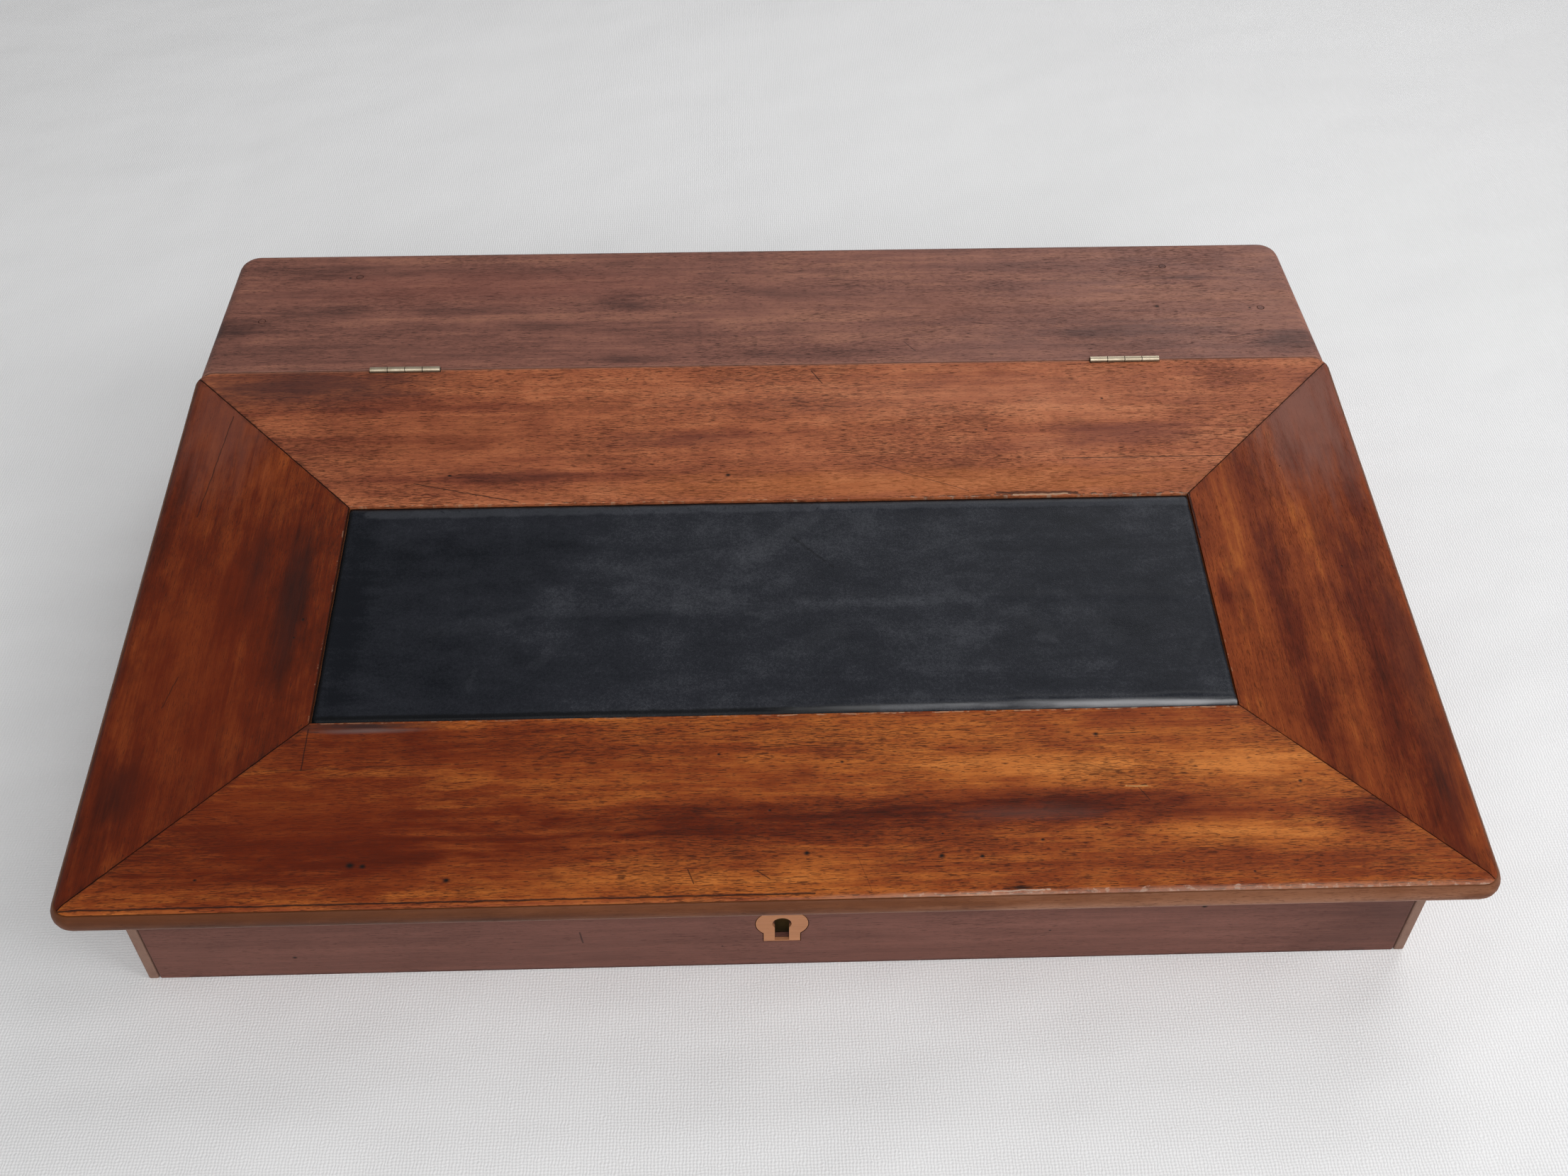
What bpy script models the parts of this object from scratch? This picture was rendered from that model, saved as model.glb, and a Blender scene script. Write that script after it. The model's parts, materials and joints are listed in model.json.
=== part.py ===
"""Mahogany writing slope: a shallow box with a fixed shelf along its back and a sloping lid hinged to it.
The lid is faced with mitred veneers round a leather panel and fastened by a box lock. Front towards -Y."""

import math

import bmesh
import bpy
from mathutils import Matrix, Vector

# Lid, measured along its slope from the hinge axis
LID_WIDTH = 0.460
LID_LENGTH = 0.2422
LID_THICKNESS = 0.011
LID_FRONT_RADIUS = 0.0075
LID_BACK_RADIUS = 0.0035
SLOPE = math.radians(6.69)
FACING_THICKNESS = 0.0011
LEATHER_WIDTH = 0.3162
LEATHER_START = 0.0733
LEATHER_END = 0.1705
LEATHER_THICKNESS = 0.0009
LEATHER_GAP = 0.0006
LEATHER_ARRIS = 0.0004

# Shelf and box
SHELF_SHORT = 0.0015
SHELF_DEPTH = 0.0865
SHELF_HEIGHT = 0.0829
SHELF_THICKNESS = 0.011
SHELF_BACK_RADIUS = 0.009
SHELF_FRONT_RADIUS = 0.0008
SIDE_OVERHANG = 0.0158
FRONT_OVERHANG = 0.0126
BACK_OVERHANG = 0.0153
FRONT_THICKNESS = 0.0115
BACK_THICKNESS = 0.009
SIDE_THICKNESS = 0.009
BOTTOM_THICKNESS = 0.005
CORNER_LAP = 0.0035
BOTTOM_LAP = 0.004
ARRIS = 0.0006

# Butt hinges let into the meeting edges of shelf and lid
HINGE_INSET = 0.0845
HINGE_LENGTH = 0.028
HINGE_RISE = 0.0002
JOINT_GAP = 0.0006
KNUCKLES = 4
KNUCKLE_PROUD = 0.00015
PIN_RADIUS = 0.0005
LEAF_THICKNESS = 0.0008
LEAF_HEIGHT = 0.0085
LEAF_SCREW_SPACING = 0.015

# Box lock, hung from the top edge of the front board
LOCK_WIDTH = 0.056
LOCK_FLANGE = 0.0055
LOCK_LIP = 0.0006
LOCK_METAL = 0.0012
SELVEDGE_DEPTH = 0.0086
CASE_MARGIN = 0.0005
CASE_DEPTH = 0.0056
CASE_METAL = 0.001
LOCK_SCREW_HEAD_DROP = 0.006
LOCK_SCREW_FOOT_RISE = 0.0055
KEY_DROP = 0.0204
KEYHOLE_RADIUS = 0.0032
KEYHOLE_SLOT = 0.0048
KEYHOLE_EDGE = 0.0004
DRILL_PIN_RADIUS = 0.0011
BOLT_DEPTH = 0.0038
BOLT_THROW = 0.006
BOLT_RISE = 0.0048
BOLT_ROOM = 0.0017
BOLT_POST = 0.003
BOLT_PLAY = 0.0005
FINGER_HEIGHT = 0.0024
FINGER_THICKNESS = 0.0016
TALON_WIDTH = 0.005
TALON_ROOF = 0.002
SPRING_METAL = 0.0005
SPRING_WIDTH = 0.003
SPRING_REACH = 0.007

# Link plate under the lid, with two lugs that drop into the lock
LINK_WIDTH = 0.050
LINK_DEPTH = 0.009
LINK_METAL = 0.0012
LINK_SCREW_SPACING = 0.040
LUG_SPACING = 0.016
LUG_THICKNESS = 0.002
LUG_DEPTH = 0.0042
LUG_DROP = 0.008
EYE_DROP = 0.0048
EYE_DEPTH = 0.0026
EYE_HEIGHT = 0.0036
LUG_PLAY = 0.0009
LUG_LEAN = 0.0006

# Keyhole escutcheon
ESCUTCHEON_WIDTH = 0.0122
ESCUTCHEON_HEIGHT = 0.020
ESCUTCHEON_THICKNESS = 0.0012
LOBE_HEIGHT = 0.0107
LOBE_REACH = 0.0026

# Fasteners: head radius, head depth, shank radius, length
HINGE_SCREW = (0.0016, 0.0007, 0.0008, 0.009)
LOCK_SCREW = (0.0018, 0.0011, 0.0008, 0.008)
LINK_SCREW = (0.0018, 0.0011, 0.0008, 0.0065)
SHELF_NAIL = (0.0013, 0.0007, 0.0007, 0.024)
BOTTOM_NAIL = (0.0012, 0.0006, 0.0006, 0.018)
SLOT_WIDTH = 0.0005
SLOT_DEPTH = 0.0004
SHELF_NAIL_INSET = 0.0402
SHELF_NAIL_SETBACK = 0.035
BOTTOM_NAIL_INSET = 0.1042
BOTTOM_NAIL_SETBACK = 0.0594

# Clearances and smoothness
FIT = 0.0003
TIP_GAP = 0.0008
PAST = 0.002
NOSE_STEPS = 12
CORNER_STEPS = 6
TURNED_STEPS = 16
SMOOTH_ANGLE = math.radians(35)

# Places worked out from the sizes above
RISE, RUN = math.sin(SLOPE), math.cos(SLOPE)
SHELF_WIDTH = LID_WIDTH - 2 * SHELF_SHORT
LID_NOSE = LID_THICKNESS / 2
LID_BASE = HINGE_RISE + LID_THICKNESS
LID_REACH = (LID_LENGTH - LID_NOSE) * RUN - (HINGE_RISE + LID_NOSE) * RISE + LID_NOSE
HINGE_Y = (LID_REACH - SHELF_DEPTH) / 2
HINGE_Z = SHELF_HEIGHT + HINGE_RISE
FRONT_Y = HINGE_Y - LID_REACH + FRONT_OVERHANG
BACK_Y = HINGE_Y + SHELF_DEPTH - BACK_OVERHANG
FRONT_INNER = FRONT_Y + FRONT_THICKNESS
BACK_INNER = BACK_Y - BACK_THICKNESS
BOX_HALF = LID_WIDTH / 2 - SIDE_OVERHANG
SIDE_INNER = BOX_HALF - SIDE_THICKNESS
RIM_Z = SHELF_HEIGHT - SHELF_THICKNESS - FIT
REBATE_Z = BOTTOM_THICKNESS + FIT
HINGE_EDGE = JOINT_GAP / 2
HINGE_X = LID_WIDTH / 2 - HINGE_INSET
KNUCKLE_RADIUS = HINGE_EDGE + LEAF_THICKNESS + KNUCKLE_PROUD


def lid_underside(y):
    """Height of the closed lid's under face above a given y."""
    return HINGE_Z - LID_BASE / RUN - (HINGE_Y - y) * math.tan(SLOPE)


LOCK_TOP = lid_underside(FRONT_Y) - FIT
KEY_Z = LOCK_TOP - KEY_DROP
KEYHOLE_REACH = ESCUTCHEON_HEIGHT / 2 - KEYHOLE_EDGE
CASE_TOP = LOCK_TOP - LOCK_METAL - FIT
CASE_BOTTOM = KEY_Z - KEYHOLE_REACH - CASE_MARGIN - CASE_METAL
LOCK_BOTTOM = CASE_BOTTOM - LOCK_LIP
CASE_BACK = FRONT_INNER - LOCK_METAL - FIT
CASE_INSIDE = CASE_BACK - CASE_DEPTH
CASE_FRONT = CASE_INSIDE - CASE_METAL
BOLT_Y = FRONT_INNER - BOLT_DEPTH
EYE_LOCAL_Z = -LID_BASE - EYE_DROP
LUG_LOCAL_Y = (BOLT_Y - HINGE_Y + EYE_LOCAL_Z * RISE) / RUN
EYE_Z = HINGE_Z + LUG_LOCAL_Y * RISE + EYE_LOCAL_Z * RUN


for old in list(bpy.data.objects):
    bpy.data.objects.remove(old, do_unlink=True)


def finish(name, colour, roughness, metallic=0.0):
    material = bpy.data.materials.new(name)
    material.use_nodes = True
    shader = material.node_tree.nodes["Principled BSDF"]
    shader.inputs["Base Color"].default_value = (*colour, 1.0)
    shader.inputs["Roughness"].default_value = roughness
    shader.inputs["Metallic"].default_value = metallic
    return material


shelf_wood = finish("shelf_mahogany", (0.160, 0.082, 0.064), 0.55)
carcass_wood = finish("carcass_mahogany", (0.270, 0.150, 0.112), 0.62)
core_wood = finish("lid_core_mahogany", (0.240, 0.118, 0.088), 0.50)
facing_wood = finish("lid_facing_mahogany", (0.245, 0.088, 0.043), 0.45)
bottom_wood = finish("bottom_pine", (0.420, 0.270, 0.150), 0.70)
boxwood = finish("escutcheon_boxwood", (0.520, 0.340, 0.190), 0.50)
leather = finish("writing_leather", (0.036, 0.038, 0.045), 0.42)
hinge_brass = finish("hinge_brass", (0.640, 0.500, 0.290), 0.35, 1.0)
lock_brass = finish("lock_brass", (0.480, 0.360, 0.190), 0.45, 1.0)
iron = finish("blackened_iron", (0.130, 0.115, 0.105), 0.55, 1.0)


def add_piece(name, bm, material=None, parent=None, place=Matrix(), rounded=False):
    """Object from a closed bmesh; one without a material is a cutter."""
    bmesh.ops.recalc_face_normals(bm, faces=bm.faces)
    mesh = bpy.data.meshes.new(name)
    bm.to_mesh(mesh)
    bm.free()
    if rounded:
        mesh.shade_smooth()
        mesh.set_sharp_from_angle(angle=SMOOTH_ANGLE)
    piece = bpy.data.objects.new(name, mesh)
    piece.parent = parent
    piece.matrix_basis = place
    if material:
        mesh.materials.append(material)
    else:
        piece.hide_render = True
        piece.display_type = "WIRE"
    bpy.context.scene.collection.objects.link(piece)
    return piece


def combine(targets, name, bm, parent=None, place=Matrix(), operation="DIFFERENCE"):
    cutter = add_piece(name, bm, parent=parent, place=place)
    for target in targets:
        boolean = target.modifiers.new(name, "BOOLEAN")
        boolean.operation = operation
        boolean.solver = "EXACT"
        boolean.object = cutter


def soften(piece):
    bevel = piece.modifiers.new("arris", "BEVEL")
    bevel.width = ARRIS
    bevel.segments = 2
    bevel.limit_method = "ANGLE"


def box(low, high):
    low, high = Vector(low), Vector(high)
    bm = bmesh.new()
    place = Matrix.Translation((low + high) / 2) @ Matrix.Diagonal((*(high - low), 1.0))
    bmesh.ops.create_cube(bm, size=1.0, matrix=place)
    return bm


def extruded(outline, along):
    """Solid from a flat closed outline of points pushed along a vector."""
    bm = bmesh.new()
    face = bm.faces.new([bm.verts.new(point) for point in outline])
    pushed = bmesh.ops.extrude_face_region(bm, geom=[face])
    far_end = [item for item in pushed["geom"] if isinstance(item, bmesh.types.BMVert)]
    bmesh.ops.translate(bm, verts=far_end, vec=along)
    return bm


def along_x(outline, start, end):
    return extruded([(start, y, z) for y, z in outline], (end - start, 0, 0))


def along_y(outline, start, end):
    return extruded([(x, start, z) for x, z in outline], (0, end - start, 0))


def rod_along_x(radius, length):
    bm = bmesh.new()
    bmesh.ops.create_cone(bm, cap_ends=True, segments=TURNED_STEPS, radius1=radius, radius2=radius,
                          depth=length, matrix=Matrix.Rotation(math.pi / 2, 4, "Y"))
    return bm


def turned(profile):
    """Solid turned about Z from radius and height pairs that start and end on the axis."""
    bm = bmesh.new()
    points = [bm.verts.new((radius, 0, height)) for radius, height in profile]
    line = [bm.edges.new(pair) for pair in zip(points, points[1:])]
    bmesh.ops.spin(bm, geom=points + line, axis=(0, 0, 1), angle=2 * math.pi, steps=TURNED_STEPS,
                   use_merge=True)
    bmesh.ops.remove_doubles(bm, verts=bm.verts, dist=1e-7)
    return bm


def arc(centre, radius, start, end, steps):
    angles = [math.radians(start + (end - start) * step / steps) for step in range(steps + 1)]
    return [(centre[0] + radius * math.cos(a), centre[1] + radius * math.sin(a)) for a in angles]


def slice_off(bm, point, normal):
    """Remove what lies on the normal's side of a plane and close the cut."""
    everything = bm.verts[:] + bm.edges[:] + bm.faces[:]
    cut = bmesh.ops.bisect_plane(bm, geom=everything, plane_co=point, plane_no=normal, clear_outer=True)
    rim = [item for item in cut["geom_cut"] if isinstance(item, bmesh.types.BMEdge)]
    bmesh.ops.holes_fill(bm, edges=rim)


# Boards with a square hinge edge and a half-round nose on the three free edges
def nosed_board(width, reach, thickness, free_radius, hinge_radius, away):
    nose = thickness / 2
    bm = bmesh.new()
    rings = []
    for step in range(NOSE_STEPS + 1):
        turn = math.pi * step / NOSE_STEPS
        inset = nose * (1 - math.sin(turn))
        height = -HINGE_RISE - nose * (1 - math.cos(turn))
        half = width / 2 - inset
        free = max(free_radius - inset, ARRIS)
        hinge_y = HINGE_EDGE + hinge_radius
        free_y = reach - inset - free
        outline = arc((hinge_radius - half, hinge_y), hinge_radius, 180, 270, CORNER_STEPS)
        outline += arc((half - hinge_radius, hinge_y), hinge_radius, 270, 360, CORNER_STEPS)
        outline += arc((half - free, free_y), free, 0, 90, CORNER_STEPS)
        outline += arc((free - half, free_y), free, 90, 180, CORNER_STEPS)
        points = [bm.verts.new((x, away * y, height)) for x, y in outline]
        rings.append([bm.edges.new(pair) for pair in zip(points, points[1:] + points[:1])])
    for upper, lower in zip(rings, rings[1:]):
        bmesh.ops.bridge_loops(bm, edges=upper + lower)
    bmesh.ops.holes_fill(bm, edges=rings[0] + rings[-1])
    return bm


def lid_slab():
    """The lid's full thickness, its hinge edge planed to stand upright when the lid is shut."""
    bm = nosed_board(LID_WIDTH, LID_LENGTH, LID_THICKNESS, LID_FRONT_RADIUS, LID_BACK_RADIUS, -1)
    upright = Vector((0, RUN, -RISE))
    slice_off(bm, upright * -HINGE_EDGE, upright)
    return bm


# Carcass boards; the sides are rebated at both ends so that only a thin lap shows at each corner
front_outline = [
    (FRONT_Y, 0),
    (FRONT_INNER - BOTTOM_LAP, 0),
    (FRONT_INNER - BOTTOM_LAP, REBATE_Z),
    (FRONT_INNER, REBATE_Z),
    (FRONT_INNER, lid_underside(FRONT_INNER) - FIT),
    (FRONT_Y, lid_underside(FRONT_Y) - FIT),
]
back_outline = [
    (BACK_Y, 0),
    (BACK_Y, RIM_Z),
    (BACK_INNER, RIM_Z),
    (BACK_INNER, REBATE_Z),
    (BACK_INNER + BOTTOM_LAP, REBATE_Z),
    (BACK_INNER + BOTTOM_LAP, 0),
]
end_half = BOX_HALF - CORNER_LAP - FIT
front_board = add_piece("front_board", along_x(front_outline, -end_half, end_half), carcass_wood)
back_board = add_piece("back_board", along_x(back_outline, -end_half, end_half), carcass_wood)
bottom_half = SIDE_INNER + BOTTOM_LAP - FIT
bottom_front = FRONT_INNER - BOTTOM_LAP + FIT
bottom_back = BACK_INNER + BOTTOM_LAP - FIT
bottom_board = add_piece("bottom_board", box((-bottom_half, bottom_front, 0),
                                             (bottom_half, bottom_back, BOTTOM_THICKNESS)), bottom_wood)


def side_board(name, side):
    lap = BOX_HALF - CORNER_LAP
    plan = [
        (BOX_HALF, FRONT_Y),
        (BOX_HALF, BACK_Y),
        (lap, BACK_Y),
        (lap, BACK_INNER - FIT),
        (SIDE_INNER, BACK_INNER - FIT),
        (SIDE_INNER, FRONT_INNER + FIT),
        (lap, FRONT_INNER + FIT),
        (lap, FRONT_Y),
    ]
    bm = extruded([(side * x, y, 0) for x, y in plan], (0, 0, RIM_Z))
    slice_off(bm, (0, HINGE_Y, lid_underside(HINGE_Y) - FIT), (0, -RISE, RUN))
    board = add_piece(name, bm, carcass_wood)
    soften(board)
    edges = sorted((side * (SIDE_INNER - PAST), side * (SIDE_INNER + BOTTOM_LAP)))
    rebate = box((edges[0], FRONT_INNER - BOTTOM_LAP, -PAST), (edges[1], BACK_INNER + BOTTOM_LAP, REBATE_Z))
    combine([board], name + "_rebate", rebate)
    return board


left_side = side_board("left_side", -1)
right_side = side_board("right_side", 1)
for board in (front_board, back_board, bottom_board):
    soften(board)

shelf_place = Matrix.Translation((0, HINGE_Y, HINGE_Z))
shelf_top = add_piece("shelf_top",
                      nosed_board(SHELF_WIDTH, SHELF_DEPTH, SHELF_THICKNESS, SHELF_BACK_RADIUS,
                                  SHELF_FRONT_RADIUS, 1),
                      shelf_wood, place=shelf_place, rounded=True)

# Lid: everything that swings hangs on an empty at the hinge axis, tilted to the slope
lid = bpy.data.objects.new("lid_axis", None)
lid.matrix_basis = shelf_place @ Matrix.Rotation(SLOPE, 4, "X")
bpy.context.scene.collection.objects.link(lid)

facing_base = -HINGE_RISE - FACING_THICKNESS
core = lid_slab()
slice_off(core, (0, 0, facing_base - FIT), (0, 0, 1))
lid_core = add_piece("lid_core", core, core_wood, lid, rounded=True)

lid_half = LID_WIDTH / 2
well_half = LEATHER_WIDTH / 2


def lid_facing(name, middle, inner_point, inner_normal, mitres):
    """One mitred veneer: the top layer of the slab, cut back to its edge of the well and its two mitres."""
    bm = lid_slab()
    slice_off(bm, (0, 0, facing_base), (0, 0, -1))
    slice_off(bm, inner_point, inner_normal)
    for corner, well_corner in mitres:
        line = Vector(well_corner) - Vector(corner)
        normal = Vector((-line.y, line.x, 0)).normalized()
        if normal.dot(Vector(middle) - Vector(corner)) > 0:
            normal.negate()
        slice_off(bm, Vector(corner) - normal * FIT / 2, normal)
    return add_piece(name, bm, facing_wood, lid, rounded=True)


front_left = ((-lid_half, -LID_LENGTH, 0), (-well_half, -LEATHER_END, 0))
front_right = ((lid_half, -LID_LENGTH, 0), (well_half, -LEATHER_END, 0))
back_left = ((-lid_half, -HINGE_EDGE, 0), (-well_half, -LEATHER_START, 0))
back_right = ((lid_half, -HINGE_EDGE, 0), (well_half, -LEATHER_START, 0))
left_middle = (-lid_half, -LEATHER_START, 0)
right_middle = (lid_half, -LEATHER_START, 0)
lid_facing("lid_facing_front", (0, -LID_LENGTH, 0), front_left[1], (0, 1, 0), (front_left, front_right))
facing_back = lid_facing("lid_facing_back", (0, 0, 0), back_left[1], (0, -1, 0), (back_left, back_right))
lid_facing("lid_facing_left", left_middle, front_left[1], (1, 0, 0), (front_left, back_left))
lid_facing("lid_facing_right", right_middle, front_right[1], (-1, 0, 0), (front_right, back_right))

panel_half = well_half - LEATHER_GAP
panel = add_piece("leather_panel",
                  box((-panel_half, -LEATHER_END + LEATHER_GAP, facing_base),
                      (panel_half, -LEATHER_START - LEATHER_GAP, facing_base + LEATHER_THICKNESS)),
                  leather, lid)
softening = panel.modifiers.new("edge", "BEVEL")
softening.width = LEATHER_ARRIS
softening.segments = 2


# Fasteners: each cuts its own hole, one fit larger, in all that it passes through
def fastener(name, profile, hole, place, targets, material, parent):
    piece = add_piece(name, turned(profile), material, parent, place, rounded=True)
    combine(targets, name + "_hole", turned(hole), parent, place)
    return piece


def screw(name, size, place, targets, material, parent=None):
    """Countersunk slotted screw driven along -Z from its place."""
    head, depth, shank, length = size
    point = shank - length
    profile = [(0, 0), (head, 0), (shank, -depth), (shank, point), (0, -length)]
    hole = [
        (0, PAST),
        (head + FIT, PAST),
        (head + FIT, 0),
        (shank + FIT, -depth - FIT),
        (shank + FIT, point - FIT),
        (0, -length - FIT),
    ]
    piece = fastener(name, profile, hole, place, targets, material, parent)
    slot = box((-head - PAST, -SLOT_WIDTH / 2, -SLOT_DEPTH), (head + PAST, SLOT_WIDTH / 2, PAST))
    combine([piece], name + "_slot", slot, parent, place)


def nail(name, size, place, targets):
    """Flat-headed nail driven along -Z from its place."""
    head, depth, shank, length = size
    point = shank - length
    profile = [(0, 0), (head, 0), (head, -depth), (shank, -depth), (shank, point), (0, -length)]
    hole = [
        (0, PAST),
        (head + FIT, PAST),
        (head + FIT, -depth - FIT),
        (shank + FIT, -depth - FIT),
        (shank + FIT, point - FIT),
        (0, -length - FIT),
    ]
    fastener(name, profile, hole, place, targets, iron, None)


drive_back = Matrix.Rotation(math.pi / 2, 4, "X")
drive_front = Matrix.Rotation(-math.pi / 2, 4, "X")
drive_up = Matrix.Rotation(math.pi, 4, "X")


# Hinge leaf: a flat plate rolled into a barrel round the pin, cleared where the other leaf's knuckles lie
def hinge_leaf(name, away, first_gap, parent, place):
    face = HINGE_EDGE
    back = HINGE_EDGE + LEAF_THICKNESS
    start = -math.degrees(math.acos(back / KNUCKLE_RADIUS))
    end = 360 - math.degrees(math.acos(face / KNUCKLE_RADIUS))
    barrel = arc((0, 0), KNUCKLE_RADIUS, start, end, TURNED_STEPS)
    outline = [(face, -LEAF_HEIGHT), (back, -LEAF_HEIGHT)] + barrel
    bm = along_x([(away * y, z) for y, z in outline], -HINGE_LENGTH / 2, HINGE_LENGTH / 2)
    leaf = add_piece(name, bm, hinge_brass, parent, place, rounded=True)
    pitch = HINGE_LENGTH / KNUCKLES
    reach = KNUCKLE_RADIUS + FIT
    for gap in range(first_gap, KNUCKLES, 2):
        left = gap * pitch - HINGE_LENGTH / 2 - (PAST if gap == 0 else FIT / 2)
        right = (gap + 1) * pitch - HINGE_LENGTH / 2 + (PAST if gap == KNUCKLES - 1 else FIT / 2)
        clear = box((left, -reach - PAST, -reach), (right, reach + PAST, reach))
        combine([leaf], f"{name}_gap_{gap}", clear, parent, place)
    combine([leaf], name + "_bore", rod_along_x(PIN_RADIUS + FIT, HINGE_LENGTH + PAST), parent, place)
    return leaf


def hinge_half(name, away, first_gap, boards, parent, base, drive):
    leaf = hinge_leaf(name, away, first_gap, parent, base)
    room = HINGE_LENGTH / 2 + FIT
    depths = sorted((-away * PAST, away * (HINGE_EDGE + LEAF_THICKNESS + FIT)))
    recess = box((-room, depths[0], -LEAF_HEIGHT - FIT), (room, depths[1], PAST))
    combine(boards, name + "_recess", recess, parent, base)
    combine(boards, name + "_channel", rod_along_x(KNUCKLE_RADIUS + FIT, 2 * room), parent, base)
    screw_z = -(LEAF_HEIGHT + KNUCKLE_RADIUS) / 2
    for number, x in enumerate((-LEAF_SCREW_SPACING / 2, LEAF_SCREW_SPACING / 2), 1):
        place = base @ Matrix.Translation((x, away * HINGE_EDGE, screw_z)) @ drive
        screw(f"{name}_screw_{number}", HINGE_SCREW, place, [leaf, boards[0]], hinge_brass, parent)


for hand, x in (("left", -HINGE_X), ("right", HINGE_X)):
    across = Matrix.Translation((x, 0, 0))
    hinge_half(hand + "_hinge_shelf_leaf", 1, 1, [shelf_top], None, shelf_place @ across, drive_back)
    upright = across @ Matrix.Rotation(-SLOPE, 4, "X")
    hinge_half(hand + "_hinge_lid_leaf", -1, 0, [lid_core, facing_back], lid, upright, drive_front)
    add_piece(hand + "_hinge_pin", rod_along_x(PIN_RADIUS, HINGE_LENGTH), iron, place=shelf_place @ across,
              rounded=True)


# Keyhole escutcheon: a flat-ended plate with a round lobe on each side
def escutcheon_outline(grow):
    half = ESCUTCHEON_WIDTH / 2 + grow
    top = ESCUTCHEON_HEIGHT / 2 + grow
    rise = LOBE_HEIGHT / 2 + grow
    radius = (rise * rise + LOBE_REACH * LOBE_REACH) / (2 * LOBE_REACH)
    swing = math.degrees(math.asin(rise / radius))
    right = arc((half + LOBE_REACH - radius, 0), radius, -swing, swing, 2 * CORNER_STEPS)
    upper = [(half, -top), *right, (half, top)]
    turned_over = [(-x, -z) for x, z in upper]
    return [(x, z + KEY_Z) for x, z in upper + turned_over]


escutcheon = add_piece("escutcheon",
                       along_y(escutcheon_outline(0), FRONT_Y, FRONT_Y + ESCUTCHEON_THICKNESS), boxwood)
combine([front_board], "escutcheon_recess",
        along_y(escutcheon_outline(FIT), FRONT_Y - PAST, FRONT_Y + ESCUTCHEON_THICKNESS + FIT))

# Lock plate with the selvedge turned forward over the top edge of the front board
lock_half = LOCK_WIDTH / 2
case_half = lock_half - LOCK_FLANGE
selvedge_front = FRONT_INNER - SELVEDGE_DEPTH
plate_front = FRONT_INNER - LOCK_METAL
lock_outline = [
    (FRONT_INNER, LOCK_BOTTOM),
    (FRONT_INNER, LOCK_TOP),
    (selvedge_front, LOCK_TOP),
    (selvedge_front, LOCK_TOP - LOCK_METAL),
    (plate_front, LOCK_TOP - LOCK_METAL),
    (plate_front, LOCK_BOTTOM),
]
lock_plate = add_piece("lock_plate", along_x(lock_outline, -lock_half, lock_half), lock_brass)
board_top = lid_underside(FRONT_INNER)
combine([front_board], "lock_pocket",
        box((-case_half - FIT, CASE_FRONT - FIT, CASE_BOTTOM - FIT),
            (case_half + FIT, FRONT_INNER + PAST, board_top)))
combine([front_board], "plate_recess",
        box((-lock_half - FIT, plate_front - FIT, LOCK_BOTTOM - FIT),
            (lock_half + FIT, FRONT_INNER + 2 * PAST, board_top + PAST)))
combine([front_board], "selvedge_recess",
        box((-lock_half - FIT, selvedge_front - FIT, LOCK_TOP - LOCK_METAL - FIT),
            (lock_half + FIT, FRONT_INNER + 3 * PAST, board_top + 2 * PAST)))

# Lock case: a shallow tray, open to the plate and to the selvedge above
lock_case = add_piece("lock_case",
                      box((-case_half, CASE_FRONT, CASE_BOTTOM), (case_half, CASE_BACK, CASE_TOP)),
                      lock_brass)
combine([lock_case], "case_hollow",
        box((-case_half + CASE_METAL, CASE_INSIDE, CASE_BOTTOM + CASE_METAL),
            (case_half - CASE_METAL, CASE_BACK + PAST, CASE_TOP + PAST)))

slot_angle = math.degrees(math.asin(KEYHOLE_SLOT / 2 / KEYHOLE_RADIUS))
keyhole = [(-KEYHOLE_SLOT / 2, -KEYHOLE_REACH), (KEYHOLE_SLOT / 2, -KEYHOLE_REACH)]
keyhole += arc((0, 0), KEYHOLE_RADIUS, slot_angle - 90, 270 - slot_angle, TURNED_STEPS)
combine([escutcheon, front_board, lock_case], "keyhole",
        along_y([(x, z + KEY_Z) for x, z in keyhole], FRONT_Y - 2 * PAST, CASE_INSIDE + PAST / 2))

pin_length = CASE_BACK - CASE_FRONT
pin_profile = [(0, 0), (DRILL_PIN_RADIUS, 0), (DRILL_PIN_RADIUS, -pin_length), (0, -pin_length)]
pin_place = Matrix.Translation((0, CASE_BACK, KEY_Z)) @ drive_front
add_piece("lock_drill_pin", turned(pin_profile), iron, place=pin_place, rounded=True)

lock_screw_x = lock_half - LOCK_FLANGE / 2
lock_screw_rows = (("upper", LOCK_TOP - LOCK_SCREW_HEAD_DROP), ("lower", LOCK_BOTTOM + LOCK_SCREW_FOOT_RISE))
for row, z in lock_screw_rows:
    for hand, x in (("left", -lock_screw_x), ("right", lock_screw_x)):
        place = Matrix.Translation((x, FRONT_INNER, z)) @ drive_front
        screw(f"lock_screw_{row}_{hand}", LOCK_SCREW, place, [lock_plate, front_board], iron)

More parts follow.
